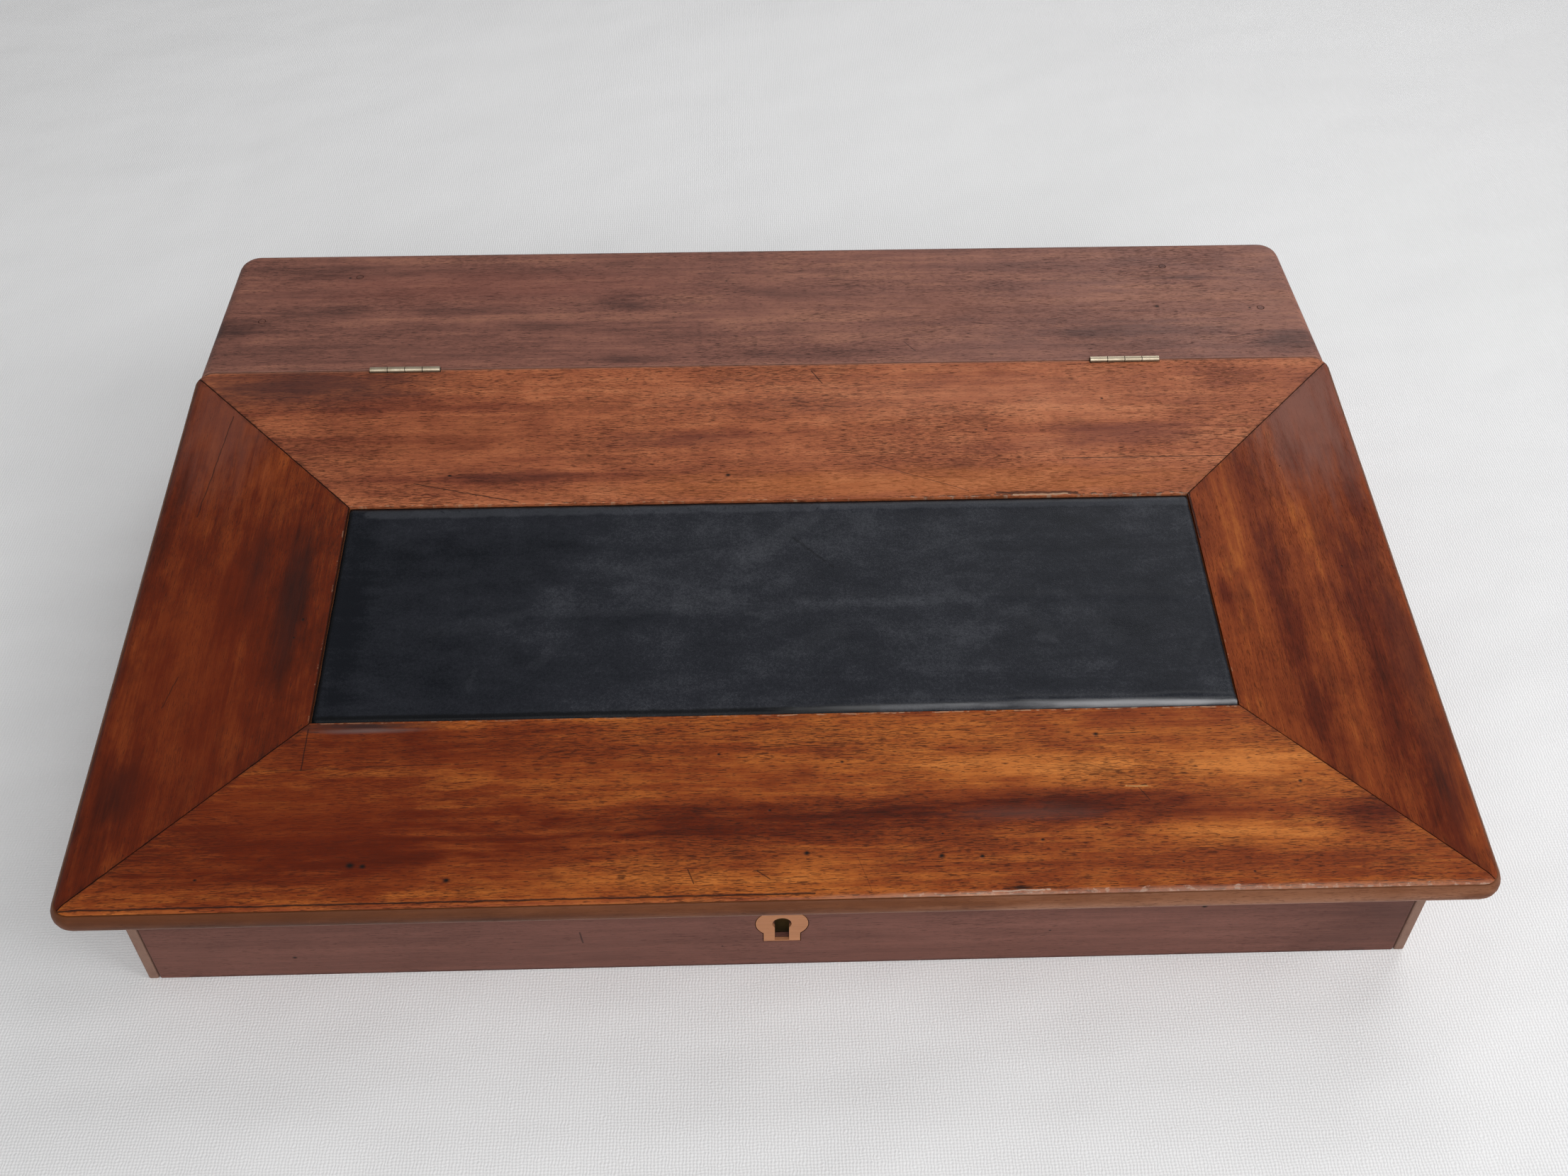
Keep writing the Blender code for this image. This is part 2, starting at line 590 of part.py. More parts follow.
# Bolt: a bar in the case with two fingers that slide through the eyes of the lugs
lug_centres = (-LUG_SPACING / 2, LUG_SPACING / 2)
finger_tips = [x - LUG_THICKNESS / 2 - TIP_GAP for x in lug_centres]
bar_low = KEY_Z + BOLT_RISE
bar_high = LOCK_TOP - LUG_DROP - BOLT_ROOM
bar_left = finger_tips[0] - BOLT_THROW - BOLT_POST - FIT
bar_right = case_half - CASE_METAL - BOLT_THROW - BOLT_PLAY
talon_middle = -BOLT_THROW / 2
talon_top = bar_high - TALON_ROOF
bar = [
    (bar_left, bar_low),
    (talon_middle - TALON_WIDTH / 2, bar_low),
    (talon_middle - TALON_WIDTH / 4, talon_top),
    (talon_middle + TALON_WIDTH / 4, talon_top),
    (talon_middle + TALON_WIDTH / 2, bar_low),
    (bar_right, bar_low),
    (bar_right, bar_high),
    (bar_left, bar_high),
]
bolt_place = Matrix.Translation((0, BOLT_Y, EYE_Z))
to_bolt = bolt_place.inverted()
bar_solid = along_y(bar, CASE_INSIDE + FIT, CASE_BACK)
bmesh.ops.transform(bar_solid, matrix=to_bolt, verts=bar_solid.verts)
lock_bolt = add_piece("lock_bolt", bar_solid, iron, place=bolt_place)
for number, tip in enumerate(finger_tips, 1):
    root = tip - BOLT_THROW
    finger = [
        (root - BOLT_POST, bar_high - TALON_ROOF),
        (root, bar_high - TALON_ROOF),
        (root, EYE_Z - FINGER_HEIGHT / 2),
        (tip, EYE_Z - FINGER_HEIGHT / 2),
        (tip, EYE_Z + FINGER_HEIGHT / 2),
        (root - BOLT_POST, EYE_Z + FINGER_HEIGHT / 2),
    ]
    solid = along_y(finger, BOLT_Y - FINGER_THICKNESS / 2, BOLT_Y + FINGER_THICKNESS / 2)
    combine([lock_bolt], f"bolt_finger_{number}", solid, operation="UNION")

# Bow spring that bears on the tail of the bolt
spring_x = case_half - CASE_METAL - FIT - SPRING_METAL / 2
spring_z = CASE_TOP - FIT
spring_drop = spring_z - (bar_high + FIT + SPRING_METAL / 2)
rim_out = []
rim_in = []
for step in range(2 * CORNER_STEPS + 1):
    turn = math.pi / 2 * step / (2 * CORNER_STEPS)
    bow = Vector((spring_x - SPRING_REACH * (1 - math.sin(turn)), spring_z - spring_drop * math.cos(turn)))
    lean = Vector((-spring_drop * math.sin(turn), SPRING_REACH * math.cos(turn))).normalized()
    rim_out.append(bow - lean * SPRING_METAL / 2)
    rim_in.append(bow + lean * SPRING_METAL / 2)
spring_outline = [tuple(point) for point in rim_out + rim_in[::-1]]
add_piece("lock_spring", along_y(spring_outline, BOLT_Y - SPRING_WIDTH / 2, BOLT_Y + SPRING_WIDTH / 2), iron,
          rounded=True)

# Link plate flush in the lid's under face
link_half = LINK_WIDTH / 2
link_low = LUG_LOCAL_Y - LINK_DEPTH / 2
link_high = LUG_LOCAL_Y + LINK_DEPTH / 2
link_plate = add_piece("link_plate",
                       box((-link_half, link_low, -LID_BASE), (link_half, link_high, -LID_BASE + LINK_METAL)),
                       lock_brass, lid)
combine([lid_core], "link_recess",
        box((-link_half - FIT, link_low - FIT, -LID_BASE - PAST),
            (link_half + FIT, link_high + FIT, -LID_BASE + LINK_METAL + FIT)), lid)
lug_half = LUG_DEPTH / 2
lug_root = -LID_BASE + LINK_METAL / 2
lug_outline = [(LUG_LOCAL_Y + lug_half, lug_root), (LUG_LOCAL_Y - lug_half, lug_root)]
lug_outline += arc((LUG_LOCAL_Y, -LID_BASE - LUG_DROP + lug_half), lug_half, 180, 360, 2 * CORNER_STEPS)
eye_low = (-link_half, LUG_LOCAL_Y - EYE_DEPTH / 2, EYE_LOCAL_Z - EYE_HEIGHT / 2)
eye_high = (link_half, LUG_LOCAL_Y + EYE_DEPTH / 2, EYE_LOCAL_Z + EYE_HEIGHT / 2)
slot_middle = BOLT_Y - LUG_LEAN
for number, x in enumerate(lug_centres, 1):
    lug = along_x(lug_outline, x - LUG_THICKNESS / 2, x + LUG_THICKNESS / 2)
    combine([link_plate], f"lug_{number}", lug, lid, operation="UNION")
    half = LUG_THICKNESS / 2 + TIP_GAP
    slot = box((x - half, slot_middle - lug_half - LUG_PLAY, LOCK_TOP - LOCK_METAL - PAST),
               (x + half, slot_middle + lug_half + LUG_PLAY, LOCK_TOP + PAST))
    combine([lock_plate], f"selvedge_slot_{number}", slot)
combine([link_plate], "lug_eyes", box(eye_low, eye_high), lid)
for number, x in enumerate((-LINK_SCREW_SPACING / 2, LINK_SCREW_SPACING / 2), 1):
    place = Matrix.Translation((x, LUG_LOCAL_Y, -LID_BASE)) @ drive_up
    screw(f"link_screw_{number}", LINK_SCREW, place, [link_plate, lid_core], iron, lid)

# Nails through the shelf and through the bottom board
for hand, way, board in (("left", -1, left_side), ("right", 1, right_side)):
    back_x = way * (BOX_HALF - SHELF_NAIL_INSET)
    over_back = Matrix.Translation((back_x, BACK_Y - BACK_THICKNESS / 2, SHELF_HEIGHT))
    nail(f"shelf_nail_back_{hand}", SHELF_NAIL, over_back, [shelf_top, back_board])
    side_x = way * (BOX_HALF - SIDE_THICKNESS / 2)
    over_side = Matrix.Translation((side_x, HINGE_Y + SHELF_NAIL_SETBACK, SHELF_HEIGHT))
    nail(f"shelf_nail_side_{hand}", SHELF_NAIL, over_side, [shelf_top, board])
    row_x = way * (SIDE_INNER + BOTTOM_LAP / 2)
    for end, y in (("front", FRONT_INNER + BOTTOM_NAIL_SETBACK), ("back", BACK_INNER - BOTTOM_NAIL_SETBACK)):
        place = Matrix.Translation((row_x, y, 0)) @ drive_up
        nail(f"bottom_nail_{hand}_{end}", BOTTOM_NAIL, place, [bottom_board, board])
    row_x = way * (BOX_HALF - BOTTOM_NAIL_INSET)
    for end, y, rim in (("front", FRONT_INNER - BOTTOM_LAP / 2, front_board),
                        ("back", BACK_INNER + BOTTOM_LAP / 2, back_board)):
        place = Matrix.Translation((row_x, y, 0)) @ drive_up
        nail(f"bottom_nail_{end}_{hand}", BOTTOM_NAIL, place, [bottom_board, rim])
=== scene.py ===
import json
import math

import bmesh
import bpy
from mathutils import Matrix, Vector, noise

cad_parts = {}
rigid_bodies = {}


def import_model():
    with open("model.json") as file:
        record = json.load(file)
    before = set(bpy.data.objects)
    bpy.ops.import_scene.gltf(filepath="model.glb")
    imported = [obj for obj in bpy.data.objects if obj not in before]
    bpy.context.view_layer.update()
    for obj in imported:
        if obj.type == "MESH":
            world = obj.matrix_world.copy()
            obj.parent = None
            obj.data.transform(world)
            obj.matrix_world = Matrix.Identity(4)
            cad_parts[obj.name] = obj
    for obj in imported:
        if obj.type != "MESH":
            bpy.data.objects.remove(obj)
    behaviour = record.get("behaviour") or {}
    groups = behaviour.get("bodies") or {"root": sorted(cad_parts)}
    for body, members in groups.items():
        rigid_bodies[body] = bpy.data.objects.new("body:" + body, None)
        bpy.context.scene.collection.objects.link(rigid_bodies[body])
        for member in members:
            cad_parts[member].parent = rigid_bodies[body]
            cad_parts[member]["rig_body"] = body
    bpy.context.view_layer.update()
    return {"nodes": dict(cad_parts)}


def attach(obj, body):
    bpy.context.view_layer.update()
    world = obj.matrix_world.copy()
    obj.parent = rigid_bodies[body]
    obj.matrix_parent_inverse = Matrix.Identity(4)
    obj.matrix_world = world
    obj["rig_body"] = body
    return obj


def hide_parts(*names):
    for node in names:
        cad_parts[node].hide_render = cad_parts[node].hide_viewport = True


for spare in list(bpy.data.objects):
    bpy.data.objects.remove(spare, do_unlink=True)

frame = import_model()
nodes = frame["nodes"]
print("frame loaded,", len(nodes), "nodes")

# places that the pieces share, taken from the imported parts, in metres
slope = math.radians(6.69)
hingeY, hingeZ = 0.076712, 0.0831
lidLength = 0.2422
wellHalf, wellBack, wellFront = 0.1581, 0.0733, 0.1705
lidPlace = Matrix.Translation((0, hingeY, hingeZ)) @ Matrix.Rotation(slope, 4, "X")


def addObject(name, data):
    made = bpy.data.objects.new(name, data)
    bpy.context.scene.collection.objects.link(made)
    return made


def asMesh(bm, name):
    mesh = bpy.data.meshes.new(name)
    bm.to_mesh(mesh)
    bm.free()
    return mesh


# camera, fitted to the photo's edges; angles in degrees
camera = dict(place=(-0.0098, -0.4559, 0.4835), turn=-1.860, tilt=45.269, roll=0.279,
              lens=37.457, sensor=36.0, clip=(0.02, 20.0))
camData = bpy.data.cameras.new("camera")
camData.lens, camData.sensor_width = camera["lens"], camera["sensor"]
camData.clip_start, camData.clip_end = camera["clip"]
cam = addObject("camera", camData)
view = Matrix.Translation(camera["place"])
for key, axis in (("turn", "Z"), ("tilt", "X"), ("roll", "Z")):
    view = view @ Matrix.Rotation(math.radians(camera[key]), 4, axis)
cam.matrix_world = view
bpy.context.scene.camera = cam
bpy.context.scene.view_settings.view_transform = "Standard"
print("camera set")


# node helpers: a value is a number, a tuple or the output of another node
def wire(tree, made, wires):
    for key, value in wires.items():
        if isinstance(value, bpy.types.NodeSocket):
            tree.links.new(value, made.inputs[key])
        else:
            made.inputs[key].default_value = value
    return made


def addNode(tree, kind, wires, **settings):
    made = tree.nodes.new(kind)
    for key, value in settings.items():
        setattr(made, key, value)
    return wire(tree, made, wires)


def useGroup(tree, group, wires):
    return addNode(tree, "ShaderNodeGroup", wires, node_tree=group).outputs


def calc(tree, operation, *values, clamp=False):
    made = addNode(tree, "ShaderNodeMath", dict(enumerate(values)),
                   operation=operation, use_clamp=clamp)
    return made.outputs[0]


def vecCalc(tree, operation, *values):
    made = addNode(tree, "ShaderNodeVectorMath", dict(enumerate(values)), operation=operation)
    return made.outputs["Value" if operation in ("LENGTH", "DOT_PRODUCT") else "Vector"]


def splitAxes(tree, vector):
    return addNode(tree, "ShaderNodeSeparateXYZ", {0: vector}).outputs


def joinAxes(tree, **axes):
    return addNode(tree, "ShaderNodeCombineXYZ", axes).outputs[0]


def remap(tree, value, low, high, newLow=0.0, newHigh=1.0, smooth=False):
    ends = {"From Min": low, "From Max": high, "To Min": newLow, "To Max": newHigh}
    made = addNode(tree, "ShaderNodeMapRange", {"Value": value, **ends},
                   interpolation_type="SMOOTHSTEP" if smooth else "LINEAR")
    return made.outputs[0]


# noises are listed below as their scale along X, Y and Z, detail and roughness
def noiseAt(tree, vector, scale, detail, rough):
    stretched = vecCalc(tree, "MULTIPLY", vector, scale)
    made = addNode(tree, "ShaderNodeTexNoise",
                   {"Vector": stretched, "Scale": 1.0, "Detail": detail, "Roughness": rough})
    return made.outputs[0]


# shifts a value by a pattern that lies about a half
def vary(tree, value, pattern, amount):
    return calc(tree, "MULTIPLY_ADD", calc(tree, "SUBTRACT", pattern, 0.5), amount, value)


def asColour(value):
    return value if isinstance(value, bpy.types.NodeSocket) else (*value, 1.0)


def blendColour(tree, factor, first, second):
    made = addNode(tree, "ShaderNodeMix", {0: factor, 6: asColour(first), 7: asColour(second)},
                   data_type="RGBA")
    return made.outputs[2]


def paint(tree, colour, mask, amount, tint):
    return blendColour(tree, calc(tree, "MULTIPLY", mask, amount), colour, tint)


def ramp(tree, value, stops):
    made = addNode(tree, "ShaderNodeValToRGB", {"Fac": value})
    band = made.color_ramp
    while len(band.elements) < len(stops):
        band.elements.new(0.5)
    for element, (place, colour) in zip(band.elements, stops):
        element.position = place
        element.color = asColour(colour)
    return made.outputs[0]


fineDepth = 0.0001                                 # of a bump, in metres


def bump(tree, strength, height, depth=fineDepth, **below):
    wires = {"Strength": strength, "Distance": depth, "Height": height, **below}
    return addNode(tree, "ShaderNodeBump", wires).outputs[0]


def startMaterial(name):
    material = bpy.data.materials.new(name)
    material.use_nodes = True
    return material, material.node_tree, material.node_tree.nodes["Principled BSDF"]


def startGroup(name, takes, gives):
    tree = bpy.data.node_groups.new(name, "ShaderNodeTree")
    for label, kind, value in takes:
        socket = tree.interface.new_socket(name=label, in_out="INPUT",
                                           socket_type="NodeSocket" + kind)
        if value is not None:
            socket.default_value = value
    for label in gives:
        tree.interface.new_socket(name=label, in_out="OUTPUT", socket_type="NodeSocketFloat")
    return tree, tree.nodes.new("NodeGroupInput").outputs, tree.nodes.new("NodeGroupOutput")


# grain of sawn mahogany: X runs along the grain, in metres; the pores are short dark dashes
grainLook = dict(
    seedStep=(1.37, 0.731, 0.553), sway=((9.0, 16.0, 16.0), 2.0, 0.5), swayAxes=(0.0, 1.0, 0.6),
    bandLength=4.0, bandNoise=(3.0, 0.55), streaks=((24.0, 380.0, 300.0), 3.0, 0.6),
    fibre=((60.0, 1900.0, 1500.0), 2.0, 0.6), fibreHeight=0.4,
    crowd=((17.0, 46.0, 46.0), 3.0, 0.5), crowdEnds=(0.32, 0.68, 0.660, 0.560),
    longDash=((270.0, 3300.0, 2700.0), 1.0, 0.5), longEnds=(0.0, 0.05),
    shortDash=((470.0, 4600.0, 3800.0), 1.0, 0.5), shortEnds=(0.005, 0.06, 0.0, 0.75),
    dashStep=(0.31, 0.17, 0.05), toneEnds=(0.28, 0.72), broadShare=0.6, streakShare=0.4)
grainTree, gIn, gOut = startGroup(
    "sawnGrain",
    [("Vector", "Vector", None), ("Seed", "Float", 0.0), ("Bands", "Float", 70.0),
     ("Wander", "Float", 0.004), ("Density", "Float", 0.0)],
    ["Tone", "Fibre", "Pores", "Height"])
shifted = vecCalc(grainTree, "ADD", gIn["Vector"],
                  vecCalc(grainTree, "MULTIPLY", gIn["Seed"], grainLook["seedStep"]))
sway = calc(grainTree, "SUBTRACT", noiseAt(grainTree, shifted, *grainLook["sway"]), 0.5)
drift = vecCalc(grainTree, "MULTIPLY", calc(grainTree, "MULTIPLY", sway, gIn["Wander"]),
                grainLook["swayAxes"])
swayed = vecCalc(grainTree, "ADD", shifted, drift)
bandScale = joinAxes(grainTree, X=grainLook["bandLength"], Y=gIn["Bands"], Z=gIn["Bands"])
broad = noiseAt(grainTree, swayed, bandScale, *grainLook["bandNoise"])
streaks = noiseAt(grainTree, swayed, *grainLook["streaks"])
fibre = noiseAt(grainTree, swayed, *grainLook["fibre"])
crowd = noiseAt(grainTree, shifted, *grainLook["crowd"])
limit = calc(grainTree, "SUBTRACT", remap(grainTree, crowd, *grainLook["crowdEnds"]),
             gIn["Density"])
aside = vecCalc(grainTree, "ADD", swayed, grainLook["dashStep"])
longDash = calc(grainTree, "SUBTRACT", noiseAt(grainTree, swayed, *grainLook["longDash"]), limit)
shortDash = calc(grainTree, "SUBTRACT", noiseAt(grainTree, aside, *grainLook["shortDash"]), limit)
pores = calc(grainTree, "MAXIMUM",
             remap(grainTree, longDash, *grainLook["longEnds"], smooth=True),
             remap(grainTree, shortDash, *grainLook["shortEnds"], smooth=True))
broadTone, streakTone = [
    calc(grainTree, "MULTIPLY", remap(grainTree, value, *grainLook["toneEnds"]), grainLook[share])
    for value, share in ((broad, "broadShare"), (streaks, "streakShare"))]
raised = calc(grainTree, "MULTIPLY", fibre, grainLook["fibreHeight"])
wire(grainTree, gOut, {"Tone": calc(grainTree, "ADD", broadTone, streakTone), "Fibre": fibre,
                       "Pores": pores, "Height": calc(grainTree, "SUBTRACT", raised, pores)})

# soft patch with a ragged rim, drawn out along the grain
spotLook = dict(rag=((42.0, 260.0, 260.0), 4.0, 0.62), ragGain=2.6, rimEnds=(1.2, 0.1))
spotTree, sIn, sOut = startGroup(
    "softPatch",
    [("Vector", "Vector", None), ("Centre", "Vector", (0, 0, 0)), ("Reach", "Float", 0.02),
     ("Breadth", "Float", 0.005), ("Ragged", "Float", 0.5)],
    ["Mask"])
away = vecCalc(spotTree, "SUBTRACT", sIn["Vector"], sIn["Centre"])
shrink = joinAxes(spotTree, X=calc(spotTree, "DIVIDE", 1.0, sIn["Reach"]),
                  Y=calc(spotTree, "DIVIDE", 1.0, sIn["Breadth"]))
far = vecCalc(spotTree, "LENGTH", vecCalc(spotTree, "MULTIPLY", away, shrink))
rim = vary(spotTree, far, noiseAt(spotTree, sIn["Vector"], *spotLook["rag"]),
           calc(spotTree, "MULTIPLY", sIn["Ragged"], spotLook["ragGain"]))
wire(spotTree, sOut, {"Mask": remap(spotTree, rim, *spotLook["rimEnds"], smooth=True)})

# line between two points, wandering and broken: joints, cracks, scratches, worn and torn edges
lineLook = dict(waverScale=190.0, waverDetail=3.0, rimEnds=(1.0, 0.35),
                breaks=((330.0, 330.0, 0.0), 3.0, 0.62), gapPush=-0.6, breakEnds=(0.12, 0.26))
lineTree, lIn, lOut = startGroup(
    "brokenLine",
    [("Vector", "Vector", None), ("Start", "Vector", (0, 0, 0)), ("End", "Vector", (1, 0, 0)),
     ("Width", "Float", 0.001), ("Wander", "Float", 0.0005), ("Gaps", "Float", 0.3)],
    ["Mask"])
place = vecCalc(lineTree, "MULTIPLY", lIn["Vector"], (1.0, 1.0, 0.0))
waver = addNode(lineTree, "ShaderNodeTexNoise",
                {"Vector": place, "Scale": lineLook["waverScale"],
                 "Detail": lineLook["waverDetail"]}).outputs[1]
waver = vecCalc(lineTree, "MULTIPLY", vecCalc(lineTree, "SUBTRACT", waver, (0.5, 0.5, 0.5)),
                joinAxes(lineTree, X=lIn["Wander"], Y=lIn["Wander"]))
fromStart = vecCalc(lineTree, "SUBTRACT", vecCalc(lineTree, "ADD", place, waver), lIn["Start"])
span = vecCalc(lineTree, "SUBTRACT", lIn["End"], lIn["Start"])
along = calc(lineTree, "DIVIDE", vecCalc(lineTree, "DOT_PRODUCT", fromStart, span),
             vecCalc(lineTree, "DOT_PRODUCT", span, span), clamp=True)
nearest = addNode(lineTree, "ShaderNodeVectorMath", {0: span, "Scale": along},
                  operation="SCALE").outputs[0]
off = vecCalc(lineTree, "LENGTH", vecCalc(lineTree, "SUBTRACT", fromStart, nearest))
shape = remap(lineTree, calc(lineTree, "DIVIDE", off, lIn["Width"]), *lineLook["rimEnds"],
              smooth=True)
breaks = calc(lineTree, "MULTIPLY_ADD", lIn["Gaps"], lineLook["gapPush"],
              noiseAt(lineTree, place, *lineLook["breaks"]))
kept = remap(lineTree, breaks, *lineLook["breakEnds"], smooth=True)
wire(lineTree, lOut, {"Mask": calc(lineTree, "MULTIPLY", shape, kept)})

# fine scuffs and hair scratches in crossing directions
scuffLook = dict(seedStep=(0.71, 0.37, 0.19), clouds=((24.0, 24.0, 24.0), 5.0, 0.62),
                 cloudEnds=(0.46, 0.64), turns=(0.5, -0.7, 1.35),
                 hairs=((60.0, 1500.0, 0.0), 2.0, 0.55), hairEnds=(0.68, 0.78))
scuffTree, cIn, cOut = startGroup(
    "fineScuffs", [("Vector", "Vector", None), ("Seed", "Float", 0.0)], ["Mask", "Clouds"])
moved = vecCalc(scuffTree, "ADD", cIn["Vector"],
                vecCalc(scuffTree, "MULTIPLY", cIn["Seed"], scuffLook["seedStep"]))
clouds = noiseAt(scuffTree, moved, *scuffLook["clouds"])
hairs = 0.0
for turn in scuffLook["turns"]:
    turned = addNode(scuffTree, "ShaderNodeVectorRotate", {"Vector": moved, "Angle": turn},
                     rotation_type="Z_AXIS").outputs[0]
    hair = remap(scuffTree, noiseAt(scuffTree, turned, *scuffLook["hairs"]),
                 *scuffLook["hairEnds"], smooth=True)
    hairs = calc(scuffTree, "MAXIMUM", hairs, hair)
rubbed = remap(scuffTree, clouds, *scuffLook["cloudEnds"])
wire(scuffTree, cOut, {"Mask": calc(scuffTree, "MULTIPLY", hairs, rubbed), "Clouds": clouds})
print("node groups ready")


# planes that a pattern lies in: X along the grain
def boardPlane(tree, location=(0, 0, 0), rotation=(0, 0, 0)):
    coords = addNode(tree, "ShaderNodeTexCoord", {}).outputs["Object"]
    made = addNode(tree, "ShaderNodeMapping",
                   {"Vector": coords, "Location": location, "Rotation": rotation})
    return made.outputs[0]


def lidPlane(tree):                                # X across the lid, Y towards its hinge
    back = lidPlace.inverted()
    return boardPlane(tree, back.to_translation(), back.to_euler())


def stilePlane(tree):                              # X down the slope, Y across the lid
    parts = splitAxes(tree, lidPlane(tree))
    return joinAxes(tree, X=calc(tree, "MULTIPLY", parts[1], -1.0), Y=parts[0], Z=parts[2])


def shelfPlane(tree):                              # Y is the distance behind the hinge
    return boardPlane(tree, (0, -hingeY, 0))


def standingPlane(tree):                           # a board stood on edge: its height becomes Y
    return boardPlane(tree, rotation=(-math.pi / 2, 0, 0))


def sidePlane(tree):                               # grain from back to front
    return boardPlane(tree, rotation=(0, 0, math.pi / 2))


# marks in such a plane, in millimetres
def spot(tree, flat, x, y, reach, breadth, ragged):
    return useGroup(tree, spotTree, {
        "Vector": flat, "Centre": (x / 1000, y / 1000, 0), "Reach": reach / 1000,
        "Breadth": breadth / 1000, "Ragged": ragged})[0]


def line(tree, flat, start, end, width, wander, gaps):
    return useGroup(tree, lineTree, {
        "Vector": flat, "Start": (start[0] / 1000, start[1] / 1000, 0),
        "End": (end[0] / 1000, end[1] / 1000, 0), "Width": width / 1000,
        "Wander": wander / 1000, "Gaps": gaps})[0]


# wood from one dictionary, with marks in millimetres
# patches: x, y, reach along the grain, breadth, push of the tone
# tints: x, y, reach, breadth, strength, colour; pits: x, y, size
# lines: start, end, width, wander, gaps, strength, colour, depth
# bands by height: height off the plane, spread, strength, colour; some tint the wood, some are
# painted light
woodLook = dict(
    blotches=((52.0, 84.0, 84.0), 5.0, 0.66), grime=((46.0, 110.0, 110.0), 6.0, 0.68),
    grimeEnds=(0.53, 0.74), specks=((640.0, 1100.0, 1100.0), 2.0, 0.6),
    speckEnds=(0.70, 0.78, 0.0, 1.6), patchRag=0.6, tintRag=0.5, pitRag=0.3, pitReach=1.15,
    pitBreadth=0.85, pitTone=(0.009, 0.006, 0.005), pitDepth=-5.0, cloudRough=0.25, poreRough=0.2)


def woodFinish(name, plane, finish):
    material, tree, shader = startMaterial(name)
    flat = plane(tree)
    grain = useGroup(tree, grainTree, {"Vector": flat, "Seed": finish["seed"],
                                       "Bands": finish["bands"], "Density": finish["density"]})
    tone = vary(tree, finish["level"], grain["Tone"], finish["contrast"])
    for x, y, reach, breadth, push in finish.get("patches", []):
        mask = spot(tree, flat, x, y, reach, breadth, woodLook["patchRag"])
        tone = calc(tree, "MULTIPLY_ADD", mask, push, tone)
    tone = vary(tree, tone, grain["Fibre"], finish["fibre"])
    tone = vary(tree, tone, noiseAt(tree, flat, *woodLook["blotches"]), finish["blotch"])
    colour = ramp(tree, tone, finish["tones"])
    colour = paint(tree, colour, grain["Pores"], finish["pores"], finish["poreTone"])
    grimy = remap(tree, noiseAt(tree, flat, *woodLook["grime"]), *woodLook["grimeEnds"])
    specks = remap(tree, noiseAt(tree, flat, *woodLook["specks"]), *woodLook["speckEnds"])
    grimy = calc(tree, "MAXIMUM", grimy, specks)
    grimy = calc(tree, "MULTIPLY", grimy, finish["grime"], clamp=True)
    colour = blendColour(tree, grimy, colour, finish["poreTone"])
    for x, y, reach, breadth, amount, tint in finish.get("tints", []):
        mask = spot(tree, flat, x, y, reach, breadth, woodLook["tintRag"])
        colour = paint(tree, colour, mask, amount, tint)
    above = splitAxes(tree, flat)[2]
    for middle, spread, amount, tint in finish.get("tintAndLightBands", []):
        gap = calc(tree, "ABSOLUTE", calc(tree, "SUBTRACT", above, middle / 1000))
        mask = remap(tree, gap, spread / 1000, 0.0, 0.0, amount, smooth=True)
        colour = blendColour(tree, mask, colour, tint)
    height = grain["Height"]
    for start, end, width, wander, gaps, amount, tint, depth in finish.get("lines", []):
        mask = line(tree, flat, start, end, width, wander, gaps)
        colour = paint(tree, colour, mask, amount, tint)
        height = calc(tree, "MULTIPLY_ADD", mask, depth, height)
    for x, y, size in finish.get("pits", []):
        reach, breadth = size * woodLook["pitReach"], size * woodLook["pitBreadth"]
        mask = spot(tree, flat, x, y, reach, breadth, woodLook["pitRag"])
        colour = blendColour(tree, mask, colour, woodLook["pitTone"])
        height = calc(tree, "MULTIPLY_ADD", mask, woodLook["pitDepth"], height)
    scuffs = useGroup(tree, scuffTree, {"Vector": flat, "Seed": finish["seed"]})
    colour = paint(tree, colour, scuffs["Mask"], finish["scuffs"], finish["scuffTone"])
    rough = vary(tree, finish["rough"], scuffs["Clouds"], woodLook["cloudRough"])
    rough = calc(tree, "MULTIPLY_ADD", grain["Pores"], woodLook["poreRough"], rough, clamp=True)
    wire(tree, shader, {"Base Color": colour, "Roughness": rough,
                        "Specular IOR Level": finish["specular"],
                        "Normal": bump(tree, finish["bump"], height)})
    return material


def dress(piece, material):
    piece.data.materials.clear()
    piece.data.materials.append(material)


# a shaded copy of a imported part, its seams merged so that rounded faces shade smoothly
smoothing = dict(merge=2e-6, flatAngle=0.6, sharpAngle=32, weight=100)


def smoothCopy(nodeName, material):
    bm = bmesh.new()
    bm.from_mesh(nodes[nodeName].data)
    bmesh.ops.remove_doubles(bm, verts=bm.verts, dist=smoothing["merge"])
    bmesh.ops.dissolve_limit(bm, angle_limit=math.radians(smoothing["flatAngle"]),
                             verts=bm.verts, edges=bm.edges)
    mesh = asMesh(bm, nodeName + "_finished")
    stored = mesh.attributes.get("custom_normal")
    if stored:
        mesh.attributes.remove(stored)
    mesh.shade_smooth()
    mesh.set_sharp_from_angle(angle=math.radians(smoothing["sharpAngle"]))
    piece = addObject(nodeName + "_finished", mesh)
    weighted = piece.modifiers.new("even shading", "WEIGHTED_NORMAL")
    weighted.keep_sharp = True
    weighted.weight = smoothing["weight"]
    dress(piece, material)
    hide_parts(nodeName)
    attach(piece, nodes[nodeName]["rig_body"])


